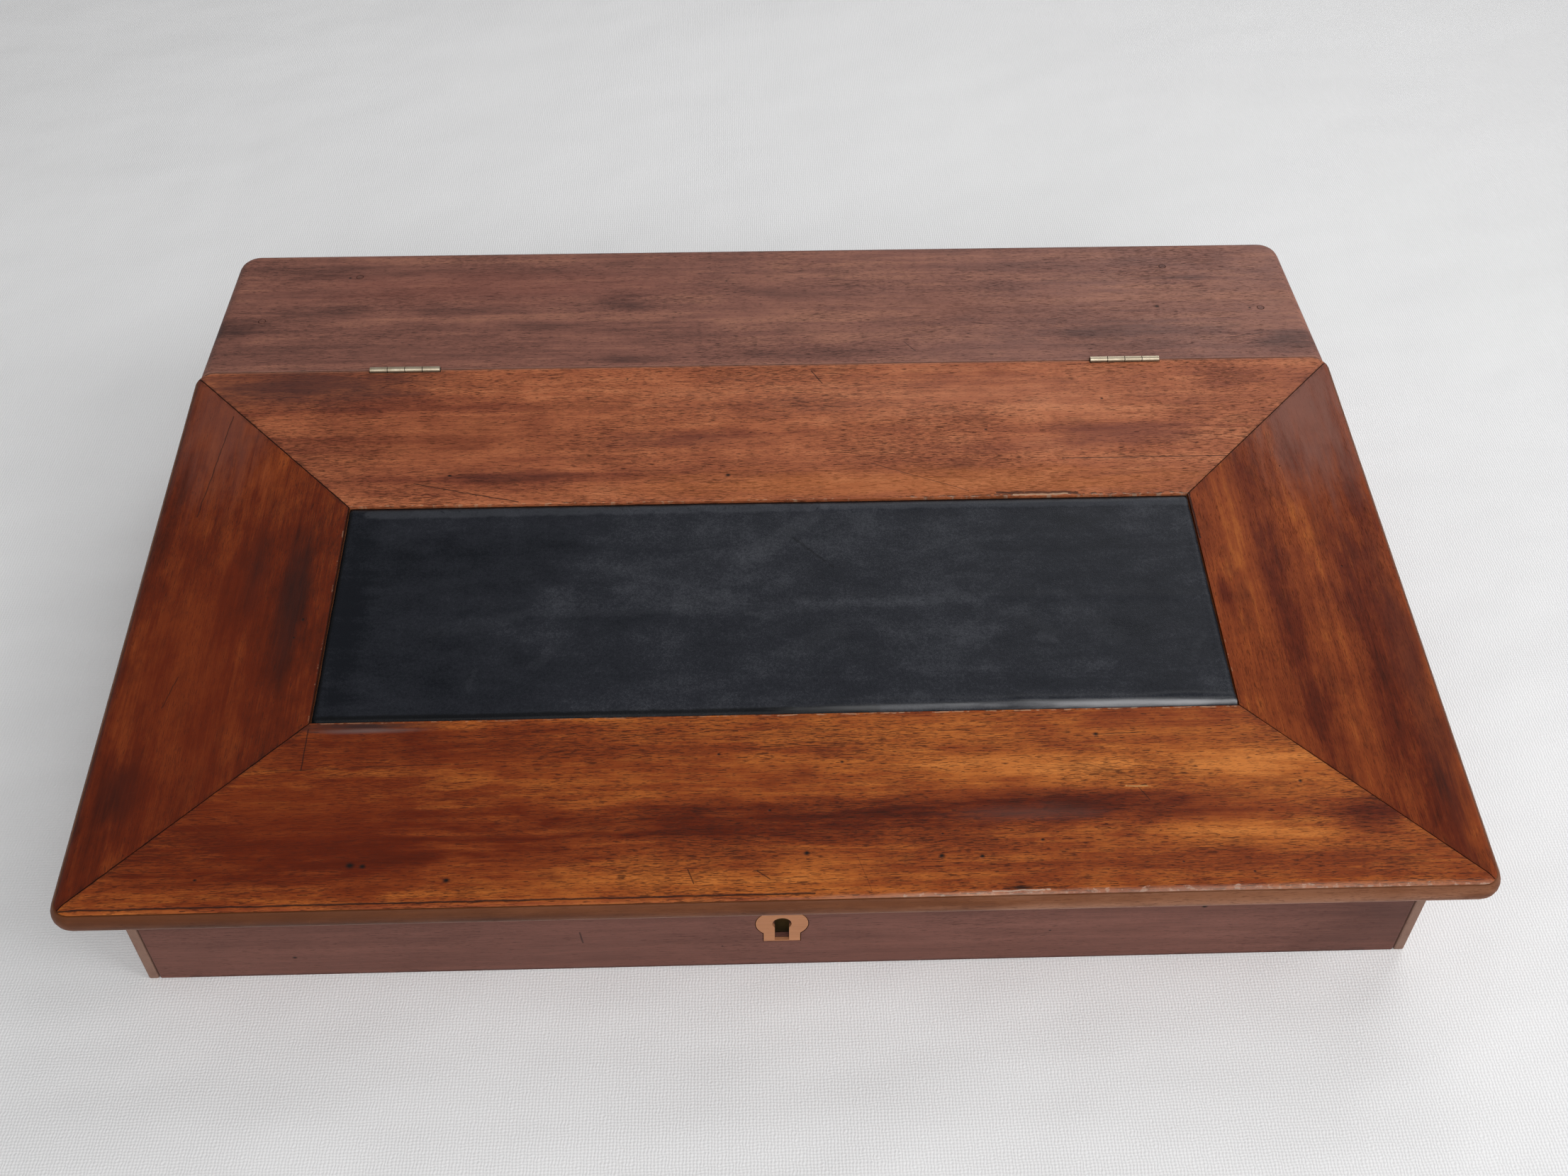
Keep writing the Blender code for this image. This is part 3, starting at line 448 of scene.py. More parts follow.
# shelf: dull purplish brown; places are x and the distance behind the hinge
dark = (0.022, 0.011, 0.010)
shelf = dict(
    seed=1.7, bands=85.0, density=0.012, level=0.61, contrast=0.62, fibre=0.40, rough=0.52,
    specular=0.18, bump=0.30, blotch=0.45, grime=0.34, pores=0.72, poreTone=(0.030, 0.013, 0.011),
    scuffs=0.10, scuffTone=(0.34, 0.20, 0.16),
    tones=[(0.0, (0.036, 0.016, 0.014)), (0.3, (0.112, 0.045, 0.034)), (0.6, (0.220, 0.088, 0.063)),
           (1.0, (0.370, 0.160, 0.100))],
    patches=[(-58, 46, 16, 8, -0.30), (-186, 41, 28, 7, -0.22), (-130, 40, 34, 5, -0.20),
             (-40, 23, 30, 9, -0.14), (-55, 4, 30, 4, -0.24), (142, 20, 46, 5, -0.28),
             (185, 58, 14, 4, -0.24), (12, 49, 38, 6, -0.24), (-222, 32, 16, 12, -0.28),
             (216, 12, 16, 10, -0.28), (20, 6, 30, 6, -0.22), (30, 33, 34, 6, 0.22),
             (160, 51, 30, 5, 0.18), (216, 70, 16, 9, 0.18), (-205, 22, 16, 5, 0.18),
             (-90, 28, 50, 5, -0.16), (30, 68, 60, 7, 0.14), (-190, 72, 30, 8, -0.14),
             (190, 45, 50, 40, 0.10), (10, 40, 70, 40, 0.05), (-190, 45, 50, 50, -0.06)],
    tints=[(-120, 58, 110, 16, 0.30, (0.230, 0.070, 0.048)),
           (90, 40, 110, 12, 0.20, (0.280, 0.110, 0.070)),
           (150, 20, 60, 9, 0.25, (0.070, 0.034, 0.030))],
    lines=[((190, 14), (206, 17), 0.35, 0.8, 0.1, 0.6, dark, -2.0),
           ((57, 14), (61, 8), 0.3, 0.4, 0.1, 0.6, dark, -2.0),
           ((120, 57), (200, 60), 0.3, 0.8, 0.3, 0.35, dark, -1.0),
           # the pale last line along the edge at the hinge is a painted highlight on the rounded
           # arris
           ((-228, 0.5), (228, 0.5), 0.5, 0.5, 0.20, 0.28, (0.34, 0.19, 0.14), 0.0)],
    pits=[(166, 37, 1.0), (205, 35, 0.7), (-16, 60, 0.6), (-178, 66, 0.8)])
smoothCopy("shelf_top", woodFinish("shelf_wood", shelfPlane, shelf))
stopping = dict(shelf, patches=[], tints=[], lines=[], pits=[], level=0.42)
filled = woodFinish("nail_stopping", shelfPlane, stopping)
for nodeName in nodes:
    if nodeName.startswith("shelf_nail_"):
        dress(nodes[nodeName], filled)

# lid veneers: warmer; places are x and minus the distance in front of the hinge
# the first colour is dirt, and is also laid on as painted shade in the gaps beside the leather
# the third colour is worn bare veneer, and is also laid on as a painted highlight along the nose's
# top edge
dirtAndGapShade, torn, bareWoodAndSheen = (0.010, 0.005, 0.004), (0.42, 0.26, 0.16), (0.56, 0.41, 0.32)
half, back, front, length = wellHalf * 1000, -wellBack * 1000, -wellFront * 1000, -lidLength * 1000
backMitres = [((-230, 0), (-half, back), 0.75), ((230, 0), (half, back), 0.60)]
frontMitres = [((-230, length), (-half, front), 0.70), ((230, length), (half, front), 0.45)]
veneer = dict(
    density=0.0, contrast=0.50, fibre=0.36, rough=0.43, specular=0.10, bump=0.32, pores=0.76,
    grime=0.38, blotch=0.55, poreTone=(0.030, 0.0080, 0.0040), scuffs=0.07,
    scuffTone=(0.46, 0.24, 0.12),
    tones=[(0.0, (0.030, 0.0050, 0.0024)), (0.28, (0.105, 0.0155, 0.0044)),
           (0.55, (0.225, 0.0460, 0.0105)), (0.78, (0.390, 0.1080, 0.0210)),
           (1.0, (0.540, 0.1750, 0.0380))])

# lines along the mitres: a crack and a wider, broken halo of dirt, as width, wander and gaps
mitre = dict(crack=(0.36, 0.7, 0.25), depth=-2.0, halo=(1.7, 4.0, 0.52), haloShare=0.4)


def joints(pairs, turned=False):
    rows = []
    for start, end, amount in pairs:
        if turned:
            start, end = (-start[1], start[0]), (-end[1], end[0])
        rows.append((start, end, *mitre["crack"], amount, dirtAndGapShade, mitre["depth"]))
        rows.append((start, end, *mitre["halo"], amount * mitre["haloShare"], dirtAndGapShade, 0.0))
    return rows


backRail = dict(
    veneer, seed=4.3, bands=80.0, density=0.024, level=0.76, contrast=0.40,
    tones=[(0.0, (0.030, 0.0085, 0.0065)), (0.28, (0.100, 0.0230, 0.0140)),
           (0.55, (0.215, 0.0570, 0.0280)), (0.78, (0.375, 0.1150, 0.0500)),
           (1.0, (0.530, 0.1900, 0.0850))],
    patches=[(-190, -8, 46, 10, -0.18), (-150, -18, 50, 7, -0.10), (-100, -60, 34, 5, -0.18),
             (-60, -59, 22, 4, -0.14), (-30, -40, 44, 6, -0.14), (10, -24, 40, 8, -0.08),
             (60, -66, 110, 8, 0.14), (135, -40, 40, 6, -0.16), (150, -48, 40, 4, -0.12),
             (120, -28, 50, 9, 0.10), (190, -10, 40, 8, -0.06), (-150, -36, 90, 44, -0.14)],
    tints=[(-186, -9, 64, 14, 0.75, (0.070, 0.028, 0.023)),
           (60, -18, 120, 16, 0.12, (0.40, 0.19, 0.13)),
           (60, -66, 150, 10, 0.40, (0.420, 0.125, 0.030)),
           (-120, -40, 60, 16, 0.20, (0.230, 0.062, 0.022)),
           (-98, -59, 30, 4, 0.30, (0.080, 0.026, 0.020)),
           (-34, -41, 40, 6, 0.25, (0.110, 0.040, 0.030)),
           (140, -42, 40, 8, 0.45, (0.140, 0.042, 0.030)),
           (95, -47, 50, 5, 0.30, (0.180, 0.050, 0.032))],
    lines=joints(backMitres) + [
        ((-135, -62), (-95, -72), 0.35, 1.0, 0.05, 0.75, dirtAndGapShade, -2.5),
        ((39, -55), (75, -70), 0.3, 1.0, 0.15, 0.5, dirtAndGapShade, -2.0),
        ((113, -54), (178, -54), 0.35, 0.8, 0.15, 0.7, dirtAndGapShade, -2.5),
        ((18, -4), (22, -11), 0.4, 0.5, 0.0, 0.7, dirtAndGapShade, -2.0),
        ((-half, back + 0.3), (30, back + 0.3), 0.32, 1.0, 0.62, 0.7, torn, 1.0),
        ((52, back + 0.5), (half, back + 0.5), 0.50, 2.6, 0.56, 0.70, (0.40, 0.27, 0.19), 1.0),
        ((48, back + 0.9), (half, back + 0.8), 0.45, 2.6, 0.50, 0.75, (0.050, 0.018, 0.010), -2.0),
        ((86, back + 1.9), (116, back + 1.6), 0.8, 2.0, 0.15, 0.85, (0.045, 0.016, 0.009), -3.0),
        ((92, back + 0.7), (112, back + 0.9), 0.5, 1.6, 0.2, 0.8, (0.48, 0.30, 0.19), 1.0),
        # the pale last line along the edge at the hinge is a painted highlight on the rounded arris
        ((-228, -0.6), (228, -0.6), 0.4, 0.5, 0.20, 0.28, (0.30, 0.16, 0.11), 0.0)],
    pits=[(-16, -60, 1.1), (-122, -58, 0.9), (85, -38, 0.6), (-56, -7, 0.6), (133, -22, 0.7)])
smoothCopy("lid_facing_back", woodFinish("back_rail_wood", lidPlane, backRail))

frontRail = dict(
    veneer, seed=7.9, bands=62.0, density=0.024, level=0.62,
    patches=[(-150, -215, 90, 26, -0.32), (-20, -212, 85, 10, -0.31), (90, -209, 70, 7, -0.36),
             (190, -214, 16, 9, -0.36), (-130, -222, 30, 8, -0.16), (-100, -185, 110, 14, -0.10),
             (90, -194, 90, 9, 0.25), (112, -201, 22, 3, 0.18), (160, -195, 34, 8, 0.29),
             (150, -219, 40, 6, 0.27), (0, -231, 90, 5, 0.12), (70, -180, 80, 8, 0.14),
             (-120, -182, 60, 10, -0.14), (80, -222, 80, 5, -0.10),
             (-190, -200, 20, 20, -0.08)],
    tints=[(82, -211, 30, 4, 0.24, (0.200, 0.095, 0.072)),
           (-139, -172.0, 28, 2.6, 0.95, (0.018, 0.016, 0.016)),
           (-138, -173.9, 19, 1.2, 0.55, (0.150, 0.130, 0.125)),
           # the two pale tints on the nose's top edge are worn bare veneer with a painted highlight
           # over it
           (150, -239.6, 110, 1.5, 0.26, bareWoodAndSheen), (50, -239.8, 50, 1.2, 0.25, bareWoodAndSheen),
           (75, -237.9, 6, 0.9, 0.95, dirtAndGapShade), (-150, -205, 100, 40, 0.52, (0.122, 0.0150, 0.0035))],
    lines=joints(frontMitres) + [
        ((-158, -173), (-158, -189), 0.32, 0.5, 0.0, 0.7, dirtAndGapShade, -2.0),
        ((-205, -190), (-100, -187.5), 0.3, 0.8, 0.40, 0.5, dirtAndGapShade, -1.5),
        ((-half, front - 0.3), (0, front - 0.3), 0.30, 1.0, 0.60, 0.30, torn, 1.0),
        ((0, front - 0.3), (half, front - 0.3), 0.35, 1.0, 0.55, 0.60, torn, 1.0),
        ((-226, -238.6), (10, -238.2), 0.38, 0.7, 0.12, 0.85, dirtAndGapShade, -1.5),
        ((30, -239.2), (226, -239.6), 0.25, 1.4, 0.72, 0.5, dirtAndGapShade, -1.5),
        # these pale lines on the nose's top edge are worn bare veneer with a painted highlight over
        # it
        ((36, -239.3), (228, -239.7), 0.45, 2.4, 0.60, 0.40, bareWoodAndSheen, 0.5),
        ((90, -238.8), (215, -239.0), 0.34, 2.8, 0.66, 0.45, bareWoodAndSheen, 0.5),
        ((66, -238.8), (84, -238.6), 0.35, 1.6, 0.3, 0.6, bareWoodAndSheen, 0.5),
        ((107, -181), (124, -180.6), 0.25, 0.6, 0.1, 0.6, dirtAndGapShade, -1.0),
        ((24, -225), (28, -238), 0.22, 0.6, 0.3, 0.3, dirtAndGapShade, -0.5),
        ((118, -202), (121, -207), 0.25, 0.5, 0.1, 0.6, dirtAndGapShade, -1.0),
        ((-30, -229), (-28, -234), 0.3, 0.4, 0.0, 0.7, dirtAndGapShade, -1.5),
        ((-8, -230), (-4, -233), 0.3, 0.4, 0.0, 0.7, dirtAndGapShade, -1.5),
        ((114, -201.5), (122, -201.8), 0.35, 0.9, 0.3, 0.5, (0.62, 0.36, 0.14), 0.5)],
    pits=[(8, -224, 1.1), (21, -190, 0.7), (51, -226, 1.0), (64, -226.5, 0.9), (84, -221, 0.8),
          (107, -181, 1.1), (-20, -186, 0.6), (-3.5, -208, 0.6), (-106, -231, 1.2),
          (-137, -225, 1.5), (-133, -225.4, 1.1), (172, -201, 0.8), (-185, -229, 0.7),
          (52, -218, 0.5), (128, -230, 0.5), (150, -234, 0.5)])
smoothCopy("lid_facing_front", woodFinish("front_rail_wood", lidPlane, frontRail))

# the stiles' grain runs down the slope: places are the distance in front of the hinge and x
leftStile = dict(
    veneer, seed=11.2, bands=64.0, density=-0.01, level=0.32, contrast=0.40, pores=0.55, fibre=0.26,
    grime=0.50,
    patches=[(118, -172, 46, 10, -0.22), (112, -190, 36, 9, -0.14), (160, -203, 60, 9, 0.12),
             (195, -214, 24, 10, -0.20), (215, -222, 40, 8, -0.14), (40, -214, 60, 12, -0.06),
             (60, -185, 40, 10, 0.14), (180, -180, 30, 8, 0.10), (90, -222, 60, 6, -0.10),
             (25, -205, 60, 30, 0.16), (205, -195, 50, 30, -0.08)],
    tints=[(25, -212, 50, 24, 0.52, (0.16, 0.058, 0.042)),
           (118, -172, 38, 7, 0.70, (0.026, 0.009, 0.007)),
           (104, -187, 22, 5, 0.40, (0.030, 0.010, 0.008)),
           (196, -216, 18, 8, 0.55, (0.024, 0.008, 0.006)),
           (150, -200, 90, 30, 0.50, (0.116, 0.0150, 0.0040))],
    lines=joints([backMitres[0], frontMitres[0]], True) + [
        ((25, -209.8), (77, -213.8), 0.32, 1.2, 0.10, 0.6, dirtAndGapShade, -2.5),
        ((150, -206), (163, -209), 0.3, 0.8, 0.1, 0.5, dirtAndGapShade, -1.5),
        # the dark line along the leather's edge is painted shade in the gap
        ((-back, -half), (-front, -half), 0.5, 0.5, 0.05, 0.75, dirtAndGapShade, 0.0),
        ((-back, -half - 0.5), (-front, -half - 0.5), 0.28, 0.9, 0.70, 0.35, torn, 1.0),
        ((6, -228), (240, -228), 1.0, 0.8, 0.2, 0.6, dirtAndGapShade, -1.0)],
    pits=[(126, -167, 0.7), (134, -169, 0.5), (46, -228, 0.8)])
smoothCopy("lid_facing_left", woodFinish("left_stile_wood", stilePlane, leftStile))
rightStile = dict(
    veneer, seed=15.6, bands=58.0, density=0.0, level=0.445, contrast=0.44, pores=0.50,
    specular=0.07, fibre=0.26, grime=0.46,
    patches=[(150, 184, 70, 7, -0.18), (184, 187, 34, 7, -0.12), (160, 212, 80, 8, -0.20),
             (45, 203, 36, 7, -0.18), (90, 197, 40, 8, 0.16), (165, 200, 44, 7, 0.12),
             (120, 222, 120, 7, -0.14), (122, 163, 12, 4, -0.24), (100, 172, 60, 6, 0.08),
             (20, 222, 30, 10, -0.10), (215, 218, 30, 7, -0.22)],
    tints=[(25, 210, 56, 30, 0.70, (0.225, 0.096, 0.070)),
           (170, 222, 80, 8, 0.40, (0.070, 0.022, 0.014))],
    lines=joints([backMitres[1], frontMitres[1]], True) + [
        ((-back, half + 0.3), (-front, half + 0.3), 0.26, 0.9, 0.72, 0.3, torn, 1.0),
        # the dark line beside the leather's back corner is painted shade in the gap
        ((-back, half + 0.4), (-back + 22, half + 0.4), 0.5, 0.9, 0.3, 0.85, dirtAndGapShade, -1.0),
        ((8, 228.3), (238, 228.3), 0.5, 0.8, 0.40, 0.5, (0.40, 0.27, 0.20), 0.3)],
    pits=[(110, 208, 0.5), (60, 196, 0.4)])
smoothCopy("lid_facing_right", woodFinish("right_stile_wood", stilePlane, rightStile))

# lid core: the worn, paler half-round edge, with a pale band low on it that is painted light
# bounced up from the floor
core = dict(
    veneer, seed=21.0, bands=90.0, density=-0.01, level=0.56, contrast=0.55, rough=0.48,
    specular=0.14, pores=0.50, poreTone=(0.05, 0.02, 0.014),
    tones=[(0.0, (0.034, 0.010, 0.0045)), (0.35, (0.085, 0.028, 0.012)),
           (0.65, (0.155, 0.056, 0.025)), (1.0, (0.270, 0.120, 0.066))],
    patches=[(-140, -242, 140, 40, -0.24), (150, -242, 110, 30, 0.55)],
    # the first band tints the top of the edge; the second, pale band low on the edge is painted
    # bounce light
    tintAndLightBands=[(-1.2, 5.4, 0.60, (0.125, 0.038, 0.011)), (-8.7, 1.9, 0.66, (0.360, 0.215, 0.165))])
smoothCopy("lid_core", woodFinish("lid_core_wood", lidPlane, core))
print("lid and shelf dressed")

# carcass boards: matt pinkish brown, grain along each board
carcass = dict(
    veneer, seed=31.0, bands=120.0, density=-0.02, level=0.54, contrast=0.34, rough=0.62,
    specular=0.2, pores=0.50, grime=0.16, blotch=0.25, poreTone=(0.06, 0.028, 0.023), scuffs=0.12,
    scuffTone=(0.36, 0.22, 0.18),
    tones=[(0.0, (0.054, 0.022, 0.017)), (0.35, (0.110, 0.044, 0.033)),
           (0.65, (0.165, 0.068, 0.051)), (1.0, (0.250, 0.110, 0.084))])
frontBoard = dict(
    carcass, seed=33.0,
    patches=[(-150, 25, 90, 12, -0.08), (110, 20, 90, 10, 0.06), (0, 10, 120, 6, 0.05),
             # the last patch, darker at the board's right end, is painted shade under the lid's
             # overhang
             (206, 18, 44, 40, -0.26)],
    lines=[((-67, 22), (-66.4, 16), 0.4, 0.4, 0.0, 0.7, dark, -2.0),
           ((-200, 0.8), (200, 0.8), 0.8, 0.6, 0.3, 0.5, dark, -1.0)],
    pits=[(-163, 11, 0.8), (140, 29, 1.0), (90, 17, 0.5), (-20, 12, 0.4)])
sideBoards = dict(
    carcass, seed=41.0, level=0.60,
    tints=[(151.5, 0, 4, 2000, 0.65, (0.25, 0.160, 0.118))])
dress(nodes["front_board"], woodFinish("front_board_wood", standingPlane, frontBoard))
dress(nodes["back_board"], woodFinish("back_board_wood", standingPlane, dict(carcass, seed=37.0)))
sideWood = woodFinish("side_board_wood", sidePlane, sideBoards)
dress(nodes["left_side"], sideWood)
dress(nodes["right_side"], sideWood)
pine = dict(
    carcass, seed=51.0, bands=55.0, density=-0.06, level=0.55, contrast=0.5, rough=0.68, pores=0.15,
    poreTone=(0.2, 0.11, 0.06), scuffTone=(0.5, 0.36, 0.22),
    tones=[(0.0, (0.17, 0.095, 0.05)), (0.4, (0.31, 0.19, 0.105)), (0.7, (0.42, 0.275, 0.155)),
           (1.0, (0.50, 0.35, 0.21))])
dress(nodes["bottom_board"], woodFinish("bottom_pine_wood", boardPlane, pine))
boxwood = dict(
    carcass, seed=61.0, bands=300.0, density=-0.05, level=0.60, contrast=0.3, rough=0.5, pores=0.25,
    poreTone=(0.14, 0.06, 0.03), scuffTone=(0.55, 0.36, 0.22),
    tones=[(0.0, (0.17, 0.066, 0.030)), (0.4, (0.33, 0.140, 0.066)), (0.7, (0.44, 0.195, 0.095)),
           (1.0, (0.54, 0.260, 0.135))])
dress(nodes["escutcheon"], woodFinish("escutcheon_wood", standingPlane, boxwood))
print("box dressed")


# metal: brass worn bright where it is handled, dull in the hollows; iron gone brown
metalLook = dict(seed=3.0, scuffScale=(6.0, 6.0, 6.0), mottle=((190.0, 190.0, 190.0), 5.0, 0.6),
                 mottleSpan=0.26, brightRough=-0.12, scuffRough=0.2, bump=0.15)


def metalFinish(name, bright, dull, rough, share):
    material, tree, shader = startMaterial(name)
    coords = boardPlane(tree)
    enlarged = vecCalc(tree, "MULTIPLY", coords, metalLook["scuffScale"])
    scuffs = useGroup(tree, scuffTree, {"Vector": enlarged, "Seed": metalLook["seed"]})
    low, high = share - metalLook["mottleSpan"], share + metalLook["mottleSpan"]
    mottled = remap(tree, noiseAt(tree, coords, *metalLook["mottle"]), low, high)
    wearAndSheen = calc(tree, "MULTIPLY_ADD", mottled, metalLook["brightRough"], rough)
    wearAndSheen = calc(tree, "MULTIPLY_ADD", scuffs["Mask"], metalLook["scuffRough"], wearAndSheen)
    wire(tree, shader, {"Base Color": blendColour(tree, mottled, dull, bright), "Metallic": 1.0,
                        "Roughness": wearAndSheen,
                        "Normal": bump(tree, metalLook["bump"], scuffs["Clouds"])})
    return material


hingeBrass = metalFinish("worn_hinge_brass", (0.52, 0.45, 0.34), (0.26, 0.205, 0.14), 0.52, 0.47)
# the lock's brass is darkened by painted shade on top of its dull tarnish, so that the keyhole
# looks dark
lockBrass = metalFinish("dull_and_shaded_lock_brass", (0.36, 0.27, 0.15), (0.14, 0.105, 0.062), 0.50, 0.52)
oldIron = metalFinish("browned_iron", (0.22, 0.19, 0.17), (0.11, 0.075, 0.055), 0.60, 0.52)
metals = {"hinge_brass": hingeBrass, "lock_brass": lockBrass, "blackened_iron": oldIron}
for nodeName in nodes:
    slotName = nodes[nodeName].data.materials[0].name
    if nodeName.endswith("_leaf"):
        smoothCopy(nodeName, hingeBrass)
    elif slotName in metals and not nodeName.startswith("shelf_nail_"):
        dress(nodes[nodeName], metals[slotName])
print("metal dressed")


# leather: a thin skin that has shrunk, with a wavy ridge at the back and a curled lip in front
# swells: height, waves in x and y, seed
# folds: the edge that they follow; their height alone, to the right, with the slow and the quick
# wave; their distance from the edge alone, with the slow and the quick wave; their breadth
hide = dict(
    halfWidth=0.1576, back=0.0738, front=0.1700, base=-0.0013, rest=-0.00045, leastThick=0.00015,
    columns=300, rows=120, crowding=0.11, sharpAngle=60, stray=0.00022, strayWave=(19, 12, 5.0),
    rightFrom=-0.03, rightOver=0.10, slowWave=(26, 3.1, 0.4), quickWave=(75, 9.7, 1.3),
    swells=[(0.00020, 14, 30, 7.0), (0.00006, 60, 110, 2.0)],
    folds=[("back", (0.00012, 0, 0, 0), (0.048, -0.0015, 0), 0.0016),
           ("front", (0.00014, 0.00050, 0.00018, 0), (0.0019, 0, 0), 0.0013),
           ("front", (0, 0.00026, 0, 0), (0.0046, 0, 0.0007), 0.0008),
           ("back", (0.00036, 0, 0.00030, 0.00012), (0.0026, 0.0009, 0), 0.0013),
           ("side", (0.00010, 0, 0, 0), (0.0020, 0, 0), 0.0012)],
    tuckDepth=0.00055, tuck=dict(front=0.0006, back=0.0009, side=0.0006))


def crowded(t):                                    # rows and columns stand closer near the edges
    return t - hide["crowding"] * math.sin(2 * math.pi * t)


def bell(distance, breadth):
    return math.exp(-(distance / breadth) ** 2)


def weighed(amounts, weights):
    return sum(amount * weight for amount, weight in zip(amounts, weights))


def hideRise(x, fromBack):
    away = dict(front=hide["front"] - hide["back"] - fromBack, back=fromBack,
                side=hide["halfWidth"] - abs(x))
    slow, quick = [noise.noise(Vector((x * perX, y, seed)))
                   for perX, y, seed in (hide["slowWave"], hide["quickWave"])]
    rightward = min(1.0, max(0.0, (x - hide["rightFrom"]) / hide["rightOver"]))
    rise = 0.0
    for height, perX, perY, seed in hide["swells"]:
        rise += height * noise.noise(Vector((x * perX, fromBack * perY, seed)))
    for edge, heights, places, breadth in hide["folds"]:
        height = weighed(heights, (1.0, rightward, slow, quick))
        rise += height * bell(away[edge] - weighed(places, (1.0, slow, quick)), breadth)
    tucked = sum(bell(away[edge], breadth) for edge, breadth in hide["tuck"].items())
    return rise - hide["tuckDepth"] * tucked


def faceOrder(face):                               # the extrude's own order differs from run to run
    places = [vert.index for vert in face.verts]
    return min(places) * len(bm.verts) + max(places)


bm = bmesh.new()
bmesh.ops.create_grid(bm, x_segments=hide["columns"], y_segments=hide["rows"], size=0.5)
perX, perY, seed = hide["strayWave"]
for vert in bm.verts:
    across, down = crowded(vert.co.x + 0.5) * 2 - 1, crowded(0.5 - vert.co.y)
    stray = noise.noise(Vector((across * perX, down * perY, seed))) * hide["stray"]
    vert.co = Vector((across * (hide["halfWidth"] + stray),
                      -hide["back"] - down * (hide["front"] - hide["back"] + stray), hide["base"]))
lifted = bmesh.ops.extrude_face_region(bm, geom=bm.faces[:])
for vert in [item for item in lifted["geom"] if isinstance(item, bmesh.types.BMVert)]:
    top = hide["rest"] + hideRise(vert.co.x, -hide["back"] - vert.co.y)
    vert.co.z = max(top, hide["base"] + hide["leastThick"])
bmesh.ops.recalc_face_normals(bm, faces=bm.faces)
bm.verts.index_update()
bm.faces.sort(key=faceOrder)
bmesh.ops.transform(bm, matrix=lidPlace, verts=bm.verts)
mesh = asMesh(bm, "leather_skin")
mesh.shade_smooth()
mesh.set_sharp_from_angle(angle=math.radians(hide["sharpAngle"]))
leather = addObject("leather_skin", mesh)

# marks in millimetres on the lid's plane: patches and the lip's painted highlights have x, y,
# reach, breadth and push or strength; scuffs have start, end, width and strength; edges also
# wander, gaps and a colour, and paint shade in the gaps at the leather's edges and a crease, and a
# highlight on the back ridge
leatherLook = dict(
    seed=2.0, cellScale=1500.0, cellTone=(0.0, 0.22, -0.5, 0.5), cellPush=0.14,
    cellHeight=(0.0, 0.25), grit=((1300.0, 1300.0, 1300.0), 3.0, 0.6), gritPush=0.8,
    gritHeight=0.8, smoke=((70.0, 120.0, 100.0), 4.0, 0.6), smokePush=0.7, cloudPush=0.75,
    paler=(-0.16, -0.02, 0.25, 0.53), patchRag=0.7, lipRag=0.45, scuffWander=5.0, scuffShare=0.28,
    speckle=(0.30, 0.70, 0.45, 1.0), hairShare=0.10, rough=(0.3, 0.30), specular=0.11, bump=0.25,
    tones=[(0.0, (0.0040, 0.0050, 0.0078)), (0.5, (0.0160, 0.0174, 0.0228)),
           (1.0, (0.0520, 0.0545, 0.0640))],
    rubbed=(0.125, 0.130, 0.145), wearAndSheen=(0.36, 0.36, 0.37), paintedShade=(0.0012, 0.0014, 0.0018),
    patches=[(-120, -84, 40, 6, 0.10), (-100, -95, 44, 6, -0.16), (-60, -118, 60, 8, 0.10),
             (-90, -150, 50, 14, -0.10), (30, -122, 60, 3, 0.10), (70, -136, 44, 9, 0.10),
             (110, -100, 40, 8, -0.12), (100, -128, 26, 5, 0.12), (20, -96, 24, 7, 0.10),
             (-152, -120, 9, 60, -0.30), (60, -158, 90, 6, -0.10), (120, -120, 70, 60, -0.12)],
    scuffs=[((-10, -102), (15, -82), 5.0, 0.42), ((-34, -122), (-18, -117), 4.0, 0.30),
            ((-92, -125), (24, -124), 3.0, 0.20), ((18, -123), (70, -122), 2.6, 0.28),
            ((-121, -133), (-92, -127), 4.0, 0.14), ((-84, -149), (-76, -138), 3.0, 0.16),
            ((-106, -157), (-104, -150), 2.0, 0.16), ((-10, -126), (-1, -128), 2.0, 0.40),
            ((3, -145), (23, -135), 5.0, 0.22), ((53, -95), (75, -98), 3.0, 0.14),
            ((85, -128), (99, -138), 3.5, 0.20), ((94, -139), (98, -141), 2.4, 0.40),
            ((107, -127), (119, -139), 7.0, 0.16), ((145, -152), (151, -139), 2.0, 0.20),
            ((-60, -108), (-14, -101), 5.0, 0.12)],
    # these four dark rows are painted shade: in the gaps at the leather's front, back and left
    # edges, and along a crease
    edges=[((-157, -168.9), (34, -168.7), 1.7, 1.2, 0.0, 0.80, "paintedShade"),
           ((-157, -74.2), (157, -74.2), 0.9, 0.7, 0.0, 0.85, "paintedShade"),
           ((-156.9, -74), (-156.9, -170), 1.0, 0.7, 0.0, 0.75, "paintedShade"),
           ((8, -92), (22, -106), 0.7, 0.8, 0.3, 0.45, "paintedShade"),
           # these two pale rows are a painted highlight along the ridge at the back edge
           ((-150, -77.4), (20, -77.0), 2.4, 2.6, 0.25, 0.16, "rubbed"),
           ((20, -76.6), (157, -77.2), 2.2, 2.0, 0.20, 0.18, "rubbed")],
    # the pale spots along the curled front edge are a painted highlight on the worn lip
    lipHighlights=[(40, -168.4, 44, 1.2, 0.22), (112, -168.2, 56, 1.9, 0.40), (126, -168.6, 40, 1.2, 0.60),
         (144, -168.9, 18, 0.9, 0.62)])
material, tree, shader = startMaterial("black_leather")
flat = lidPlane(tree)
scuffs = useGroup(tree, scuffTree, {"Vector": flat, "Seed": leatherLook["seed"]})
cells = addNode(tree, "ShaderNodeTexVoronoi", {"Vector": flat, "Scale": leatherLook["cellScale"]},
                feature="DISTANCE_TO_EDGE").outputs[0]
